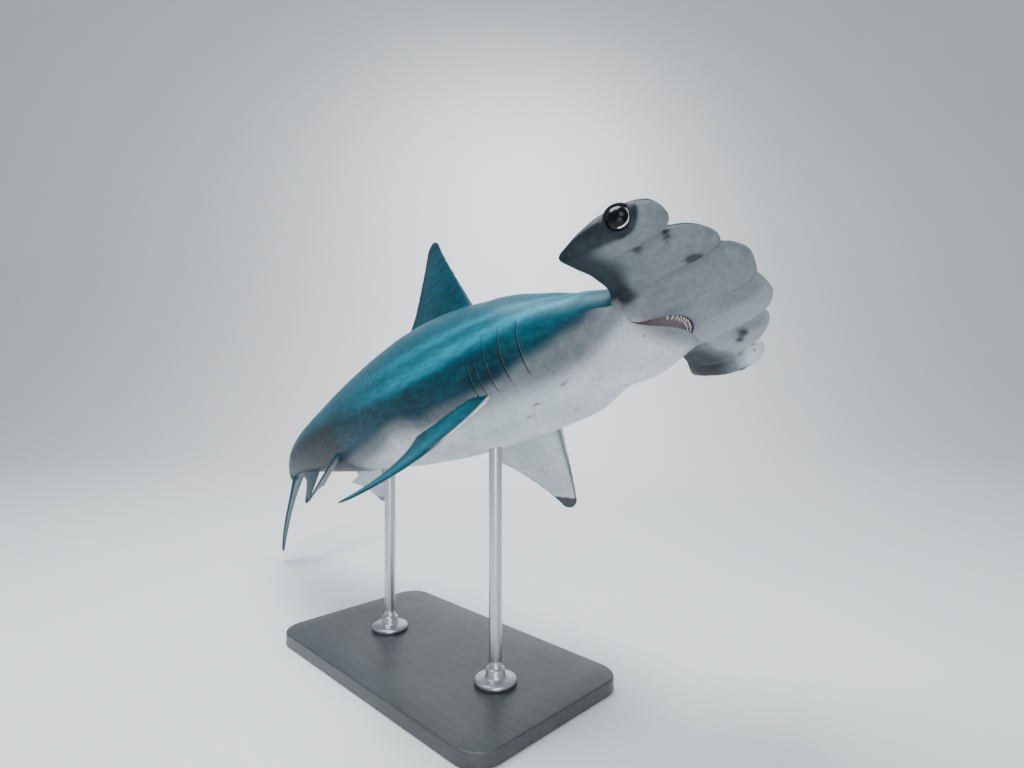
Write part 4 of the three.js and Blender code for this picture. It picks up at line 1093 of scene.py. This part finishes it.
# Painted shade inside the gill slits and where the lip turns into the mouth.
SLIT_SHADE = colour(26, 30, 34)
PALATE = colour(172, 163, 167)
FLAP_EDGE = colour(206, 212, 212)


def dark_colour(m, rise, cloud, grain, long_grain):
    """Blue-green of the back, deeper low on the flank, and plain slate where the rise is below 0."""
    dark = m.mix(rise.between(0.15, 0.62), *BACK_DARK)
    dark = m.mix(cloud.between(0.35, 0.7) * 0.3, dark, BACK_CLOUD)
    dark = m.mix(long_grain.between(0.4, 0.75) * 0.26, dark, BACK_GRAIN)
    return m.mix(rise.between(-0.05, -0.9), dark, m.mix(grain.between(0.3, 0.75), *SLATE))


def with_marks(m, base, rest, level, ink_and_shade, blush):
    """A colour with flecks along the line between dark and pale, pink scratches, and dark smears and painted
    shade on it.
    """
    fleck = m.spots(rest, 46).between(0.17, 0.09) * m.noise(rest, 13, 2).between(0.5, 0.62)
    small = m.spots(rest.scaled(1, 1.5, 1.5), 95).between(0.24, 0.12)
    small = small * m.noise(rest, 21, 2).between(0.48, 0.6)
    marks = fleck.at_least(small * 0.8) * level.between(0.8, 0.2)
    base = m.mix(marks * 0.62, base, FLECK)
    scratch = m.noise(rest.scaled(1, 6, 6), 60, 3, 0.6).between(0.56, 0.68)
    base = m.mix(blush * scratch.at_least(0.1) * 0.75, base, SCRATCH)
    # The ink carries the dark marks and the painted shade under the tail.
    smear = (ink_and_shade * (0.65 + m.noise(rest, 60, 4, 0.7) * 0.7)).between(0.12, 0.8)
    return m.mix(smear * 0.92, base, SMEAR_AND_SHADE)


def skin_finish():
    """Dark above, grey on the flank (partly painted shade) and white below, with painted highlight streaks,
    marks, mouth, slits darkened with painted shade, and fine grain.
    """
    m = Finish("skin", Specular_IOR_Level=0.08)
    rest = m.attribute("rest")
    tone, ink_and_shade, cut = m.split(m.attribute("hue"))
    painted_shine, blush, rise = m.split(m.attribute("glow"))
    cloud = m.noise(rest, 7, 5)
    grain = m.noise(rest, 55, 6, 0.65)
    long_grain = m.noise(rest.scaled(1, 3.5, 3.5), 26, 5, 0.6)
    level = tone + ((cloud - 0.5) * 0.13 + (long_grain - 0.5) * 0.08) * tone.between(0.0, 0.25)
    pale = m.mix(cloud.between(0.35, 0.68), *BELLY_PALE)
    pale = m.mix(grain.between(0.5, 0.75) * 0.5, pale, BELLY_GRAIN)
    grey = m.mix(grain.between(0.35, 0.7), *FLANK_GREY_AND_SHADE)
    dark = dark_colour(m, rise, cloud, grain, long_grain)
    base = m.mix(level.between(0.03, 0.46), pale, grey)
    base = m.mix(level.between(0.42, 0.86), base, dark)
    # Painted highlight streaks along the flank and on the fins.
    highlight_amount = (painted_shine * (0.55 + long_grain.between(0.3, 0.62) * 0.45)).at_most(1.0)
    base = m.mix(highlight_amount * 0.52, base, HIGHLIGHT_TEAL)
    base = with_marks(m, base, rest, level, ink_and_shade, blush)
    # Painted shade: the slits, and a thin line where the lip turns in, darkened before the palate's colour.
    base = m.mix(cut.between(0.0, 1.0), base, SLIT_SHADE)
    base = m.mix(cut.between(1.0, 2.0), base, PALATE)
    base = m.mix(cut.between(0.0, -1.0) * 0.6, base, FLAP_EDGE)
    fine = m.bump(m.noise(rest, 620, 3, 0.6), 0.0004, 0.5)
    folds = m.bump(cloud * 0.5 + long_grain * 0.6 + grain * 0.3, 0.0012, 0.5, fine)
    rough = 0.4 + (grain - 0.5) * 0.3 + cut.between(0.0, 1.0) * 0.15
    return m.finish(Base_Color=base, Roughness=rough, Normal=folds)


skin_mesh.materials.append(skin_finish())
install(skin, "skin", "head", "gill_region", "torso_front", "torso_rear", "tail_stalk", "dorsal_fin_first",
        "dorsal_fin_second", "anal_fin", "pectoral_fin_right", "pectoral_fin_left", "pelvic_fin_right",
        "pelvic_fin_left", "caudal_fin_upper", "caudal_fin_lower")


# Eyes: a ball with a wide black pupil, a dark iris and a pale crescent along its lower front


def eye_finish():
    """Black pupil, dark iris with fine fibres, and a pale crescent where the eye faces forward and down."""
    m = Finish("eye", Specular_IOR_Level=0.14, Coat_Weight=0.1, Coat_Roughness=0.05)
    across, forward, up = m.split(m.attribute("gaze"))
    iris = across.between(0.68, 0.64)
    crescent = across.between(0.66, 0.63) * across.between(0.53, 0.56)
    crescent = crescent * (forward * 0.9 - up * 0.75).between(0.25, 0.5)
    fibres = m.noise(m.attribute("gaze").scaled(40, 40, 40), 1.0, 4)
    base = m.mix(iris, colour(6, 8, 10), m.mix(fibres, colour(12, 14, 16), colour(24, 27, 30)))
    base = m.mix(crescent, base, m.mix(fibres, colour(196, 202, 206), colour(228, 232, 234)))
    return m.finish(Base_Color=base, Roughness=0.16 + fibres * 0.08, Normal=m.bump(fibres, 0.0002, 0.2))


def make_eye(name, sign, finish):
    """A ball of circles from pole to pole, whose gaze says how far each point faces out, forward and up."""
    polar = np.linspace(0, np.pi, 41)[1:-1][:, None]
    turn = full_turn(64)[None]
    ring = np.sin(polar)
    gaze = np.stack([np.cos(polar) + 0 * turn, ring * np.cos(turn), ring * np.sin(turn)], -1)
    bulge = EYE["radius"] * (1 + 0.03 * ramp(gaze[..., :1], 0.5, 1))
    mesh = grid_mesh(name, eye_place(sign) + bulge * (gaze @ np.stack(eye_axes(sign))), True, True)
    point_values(mesh, "gaze", with_cap_value(gaze, True, True))
    tidy(mesh)
    mesh.shade_smooth()
    mesh.materials.append(finish)
    install(add_object(name, mesh), "eye", name)


eye_material = eye_finish()
make_eye("eye_right", -1, eye_material)
make_eye("eye_left", 1, eye_material)


# Teeth: two rows along the front of the upper jaw, each tooth a curved, flattened cone

TEETH = 13
TOOTH_PITCH = 0.0034
TOOTH_ROWS = (0.0022, 0.0048)
TOOTH_LENGTH = 0.0065
TOOTH_WIDTH = 0.0027
TOOTH_LEAN = 0.0018
# How high a tooth's root is sunk in the palate, as a share of the total length.
TOOTH_SUNK = 0.0008


def tooth_points(side, back_by, size):
    """Rings of one tooth, from its root in the palate to its tip, leaning back."""
    lip = head_point(MOUTH_ROW, np.array(side / FRONT_SPAN), np.array(True), False)
    forward, left, up = body_axes(lip[0])
    root = placed(lip[0] + back_by, lip[1], lip[2] + TOOTH_SUNK)
    along = np.linspace(0, 1, 8)[:, None, None]
    turn = full_turn(12)[None, :, None]
    width = size * TOOTH_WIDTH * (1 - along**1.5) + 0.00015
    lean = size * TOOTH_LEAN * along**2
    ring = (width * 0.55 * np.cos(turn) - lean) * forward + width * np.sin(turn) * left
    return root + ring - size * TOOTH_LENGTH * along * up


def teeth_mesh():
    """All teeth in one mesh, each of its own size, the second row standing between those of the first."""
    rng = np.random.default_rng(SEED)
    work = bmesh.new()
    for row, back_by in enumerate(TOOTH_ROWS):
        for i in range(TEETH):
            side = (i - (TEETH - 1) / 2 + row / 2) * TOOTH_PITCH
            points = tooth_points(side, back_by, rng.uniform(0.85, 1.1))
            work.from_mesh(grid_mesh("tooth", points, True, True))
    bmesh.ops.recalc_face_normals(work, faces=work.faces)
    mesh = bpy.data.meshes.new("teeth")
    work.to_mesh(mesh)
    work.free()
    mesh.shade_smooth()
    return mesh


def teeth_finish():
    """Off-white with a faint stain."""
    m = Finish("teeth", Coat_Weight=0.2)
    stain = m.noise(m.place(), 260, 4)
    base = m.mix(stain, colour(196, 194, 192), colour(222, 220, 217))
    return m.finish(Base_Color=base, Roughness=0.25 + stain * 0.1, Normal=m.bump(stain, 0.0002, 0.2))


teeth = add_object("teeth", teeth_mesh())
teeth.data.materials.append(teeth_finish())
install(teeth, "teeth")


# Stand: a board with rounded corners and edges, and two steel rods on turned feet

BASE_LENGTH = 0.78
BASE_WIDTH = 0.44
BASE_THICKNESS = 0.032
CORNER = 0.06
BOARD_EDGE = 0.004
ROD_RADIUS = 0.014
# Name of each rod, and the station it holds the body at.
RODS = (("stand_rod_front", 0.25), ("stand_rod_rear", 0.42))
# How far down the belly each rod's top is, inside the body, as a share of the belly's depth.
ROD_TOP = 0.55
ROD_GAP = 0.0003
# A rod's turned foot: radius over the rod's own, and height over the board.
FOOT = ((3.15, 0), (3.3, 0.0012), (3.28, 0.008), (3.15, 0.0108), (3.0, 0.012), (1.9, 0.0135), (1.62, 0.015),
        (1.5, 0.018), (1.48, 0.03), (1.4, 0.0325), (1.15, 0.0335), (1, 0.034))
FOOT_END = 0.05


def board_mesh():
    """Loops of a rounded rectangle, drawn in at the top and bottom by a rounded edge."""
    quarter = np.linspace(0, np.pi / 2, 17)
    corners = ((1, 1, 0), (-1, 1, 1), (-1, -1, 2), (1, -1, 3))
    edge_turn = np.linspace(0, np.pi / 2, 6)
    lower = [(BOARD_EDGE * (1 - np.sin(a)), BOARD_EDGE * (1 - np.cos(a))) for a in edge_turn]
    upper = [(rise, BASE_THICKNESS - inset) for inset, rise in lower]
    profile = [(CORNER, 0), *lower, *upper, (CORNER, BASE_THICKNESS)]
    loops = []
    for inset, z in profile:
        radius = max(CORNER - inset, 0.001)
        loop = []
        for x_sign, y_sign, turns in corners:
            angle = quarter + turns * np.pi / 2
            x = x_sign * (BASE_LENGTH / 2 - CORNER) + radius * np.cos(angle)
            y = y_sign * (BASE_WIDTH / 2 - CORNER) + radius * np.sin(angle)
            loop.append(np.stack([x, y, np.full(len(quarter), z)], -1))
        loops.append(np.concatenate(loop))
    return grid_mesh("stand_base", np.stack(loops), True, True)


def rod_mesh(name, s):
    """A lathe profile turned about an upright axis: a foot with rounded shoulders, a collar and the rod."""
    x, y, top = placed(s, 0, -share_of(belly, s) * ROD_TOP)
    bottom = BASE_THICKNESS + ROD_GAP
    profile = [*FOOT, *((1, height) for height in np.linspace(FOOT_END, top - bottom, 8))]
    wide, height = np.array(profile).T[:, :, None]
    turn = full_turn(48)[None]
    across = ROD_RADIUS * wide
    points = np.stack([x + across * np.cos(turn), y + across * np.sin(turn), bottom + height + 0 * turn], -1)
    return grid_mesh(name, points, True, True)


def board_finish():
    """Satin charcoal paint over faint long grain, with a little dust."""
    m = Finish("board", Coat_Weight=0.15, Coat_Roughness=0.25)
    place = m.place()
    grain = m.noise(place.scaled(1, 12, 12), 14, 6, 0.6)
    dust = m.noise(place, 9, 4)
    base = m.mix(grain.between(0.3, 0.7), colour(52, 55, 58), colour(64, 67, 70))
    base = m.mix(dust.between(0.5, 0.8) * 0.3, base, colour(92, 95, 98))
    return m.finish(Base_Color=base, Roughness=0.42 + (dust - 0.5) * 0.2, Normal=m.bump(grain, 0.0004, 0.35))


def steel_finish():
    """Steel brushed round the rod."""
    m = Finish("steel", Metallic=1.0)
    place = m.place()
    brush = m.noise(place.scaled(1, 1, 40), 60, 4, 0.6)
    base = m.mix(brush, colour(168, 172, 176), colour(200, 203, 206))
    return m.finish(Base_Color=base, Roughness=0.26 + brush * 0.16, Normal=m.bump(brush, 0.0001, 0.3))


def add_stand(name, mesh, material, slot):
    """A part of the stand, smoothed and installed."""
    tidy(mesh)
    mesh.shade_smooth()
    mesh.materials.append(material)
    install(add_object(name, mesh), slot, name)


add_stand("stand_base", board_mesh(), board_finish(), "stand_board")
steel = steel_finish()
for rod_name, rod_station in RODS:
    add_stand(rod_name, rod_mesh(rod_name, rod_station), steel, "stand_metal")


# Studio: a pale floor that sweeps up behind, soft lights and the camera

# Distances of the flat floor's lines along the view, its half width, and the wall's start, bend and heights.
FLOOR_LINES = (-6.0, -2.0, 0.0, 2.0)
FLOOR_HALF = 9.0
WALL_START = 3.4
WALL_ROUND = 2.4
WALL_TOPS = (4.5, 8.0)


def floor_mesh():
    """A sheet whose far side, seen from the camera, curves up into a wall."""
    view = np.array([-math.sin(math.radians(CAMERA_TURN)), math.cos(math.radians(CAMERA_TURN)), 0])
    right = np.array([view[1], -view[0], 0])
    line = [(far, 0) for far in FLOOR_LINES]
    arc = np.linspace(0, np.pi / 2, 17)
    line += [(WALL_START + WALL_ROUND * np.sin(a), WALL_ROUND * (1 - np.cos(a))) for a in arc]
    line += [(WALL_START + WALL_ROUND, top) for top in WALL_TOPS]
    far, up = np.array(line).T[:, :, None, None]
    across = np.linspace(-FLOOR_HALF, FLOOR_HALF, 13)[None, :, None]
    grid = view * far + right * across + np.array([0, 0, 1]) * up
    rows, columns, _ = grid.shape
    index = np.arange(rows * columns).reshape(rows, columns)
    faces = np.stack([index[:-1, :-1], index[:-1, 1:], index[1:, 1:], index[1:, :-1]], -1).reshape(-1, 4)
    mesh = bpy.data.meshes.new("floor")
    mesh.from_pydata(grid.reshape(-1, 3).tolist(), [], faces.tolist())
    mesh.shade_smooth()
    return mesh


def floor_finish():
    """Pale and matt, with a faint unevenness."""
    m = Finish("floor")
    grain = m.noise(m.place(), 3, 3)
    base = m.mix(grain, colour(236, 238, 240), colour(240, 242, 244))
    return m.finish(Base_Color=base, Roughness=0.85 + (grain - 0.5) * 0.05)


def add_light(name, place, aim, size, power, tint):
    """A square light at a place, turned to face its aim."""
    light = bpy.data.lights.new(name, "AREA")
    light.size = size
    light.energy = power
    light.color = tint
    lamp = add_object(name, light)
    lamp.location = place
    x, y, z = np.subtract(aim, place)
    lamp.rotation_euler = (math.atan2(math.hypot(x, y), -z), 0, math.atan2(y, x) - math.pi / 2)


floor = add_object("floor", floor_mesh())
floor.data.materials.append(floor_finish())
floor.location = (0, 0, -0.0005)

# Name, place, aim, size, power and tint of each light.
LIGHTS = (("top", (-0.4, -0.2, 3.3), (0.1, 0, 0.7), 2.0, 165, (0.9, 0.97, 1.0)),
          ("key", (2.6, -1.4, 2.2), (0.3, 0, 0.7), 1.4, 34, (1.0, 0.99, 0.97)),
          ("low", (1.9, -1.5, 0.4), (0.6, 0, 0.8), 1.0, 13, (0.97, 0.99, 1.0)),
          ("wall", (-2.2, 2.6, 3.2), (-4.2, 4.2, 1.0), 2.5, 120, (0.98, 0.99, 1.0)))
for light_values in LIGHTS:
    add_light(*light_values)

world = bpy.data.worlds.new("studio")
bpy.context.scene.world = world
world.use_nodes = True
background = world.node_tree.nodes["Background"]
background.inputs["Color"].default_value = (0.88, 0.94, 1.0, 1)
background.inputs["Strength"].default_value = 0.5

lens = bpy.data.cameras.new("camera")
lens.sensor_width = SENSOR_WIDTH
lens.lens = FOCAL_PIXELS / PICTURE_WIDTH * SENSOR_WIDTH
camera = add_object("camera", lens)
camera.location = CAMERA_PLACE
camera.rotation_euler = (math.radians(90), 0, math.radians(CAMERA_TURN))
bpy.context.scene.camera = camera
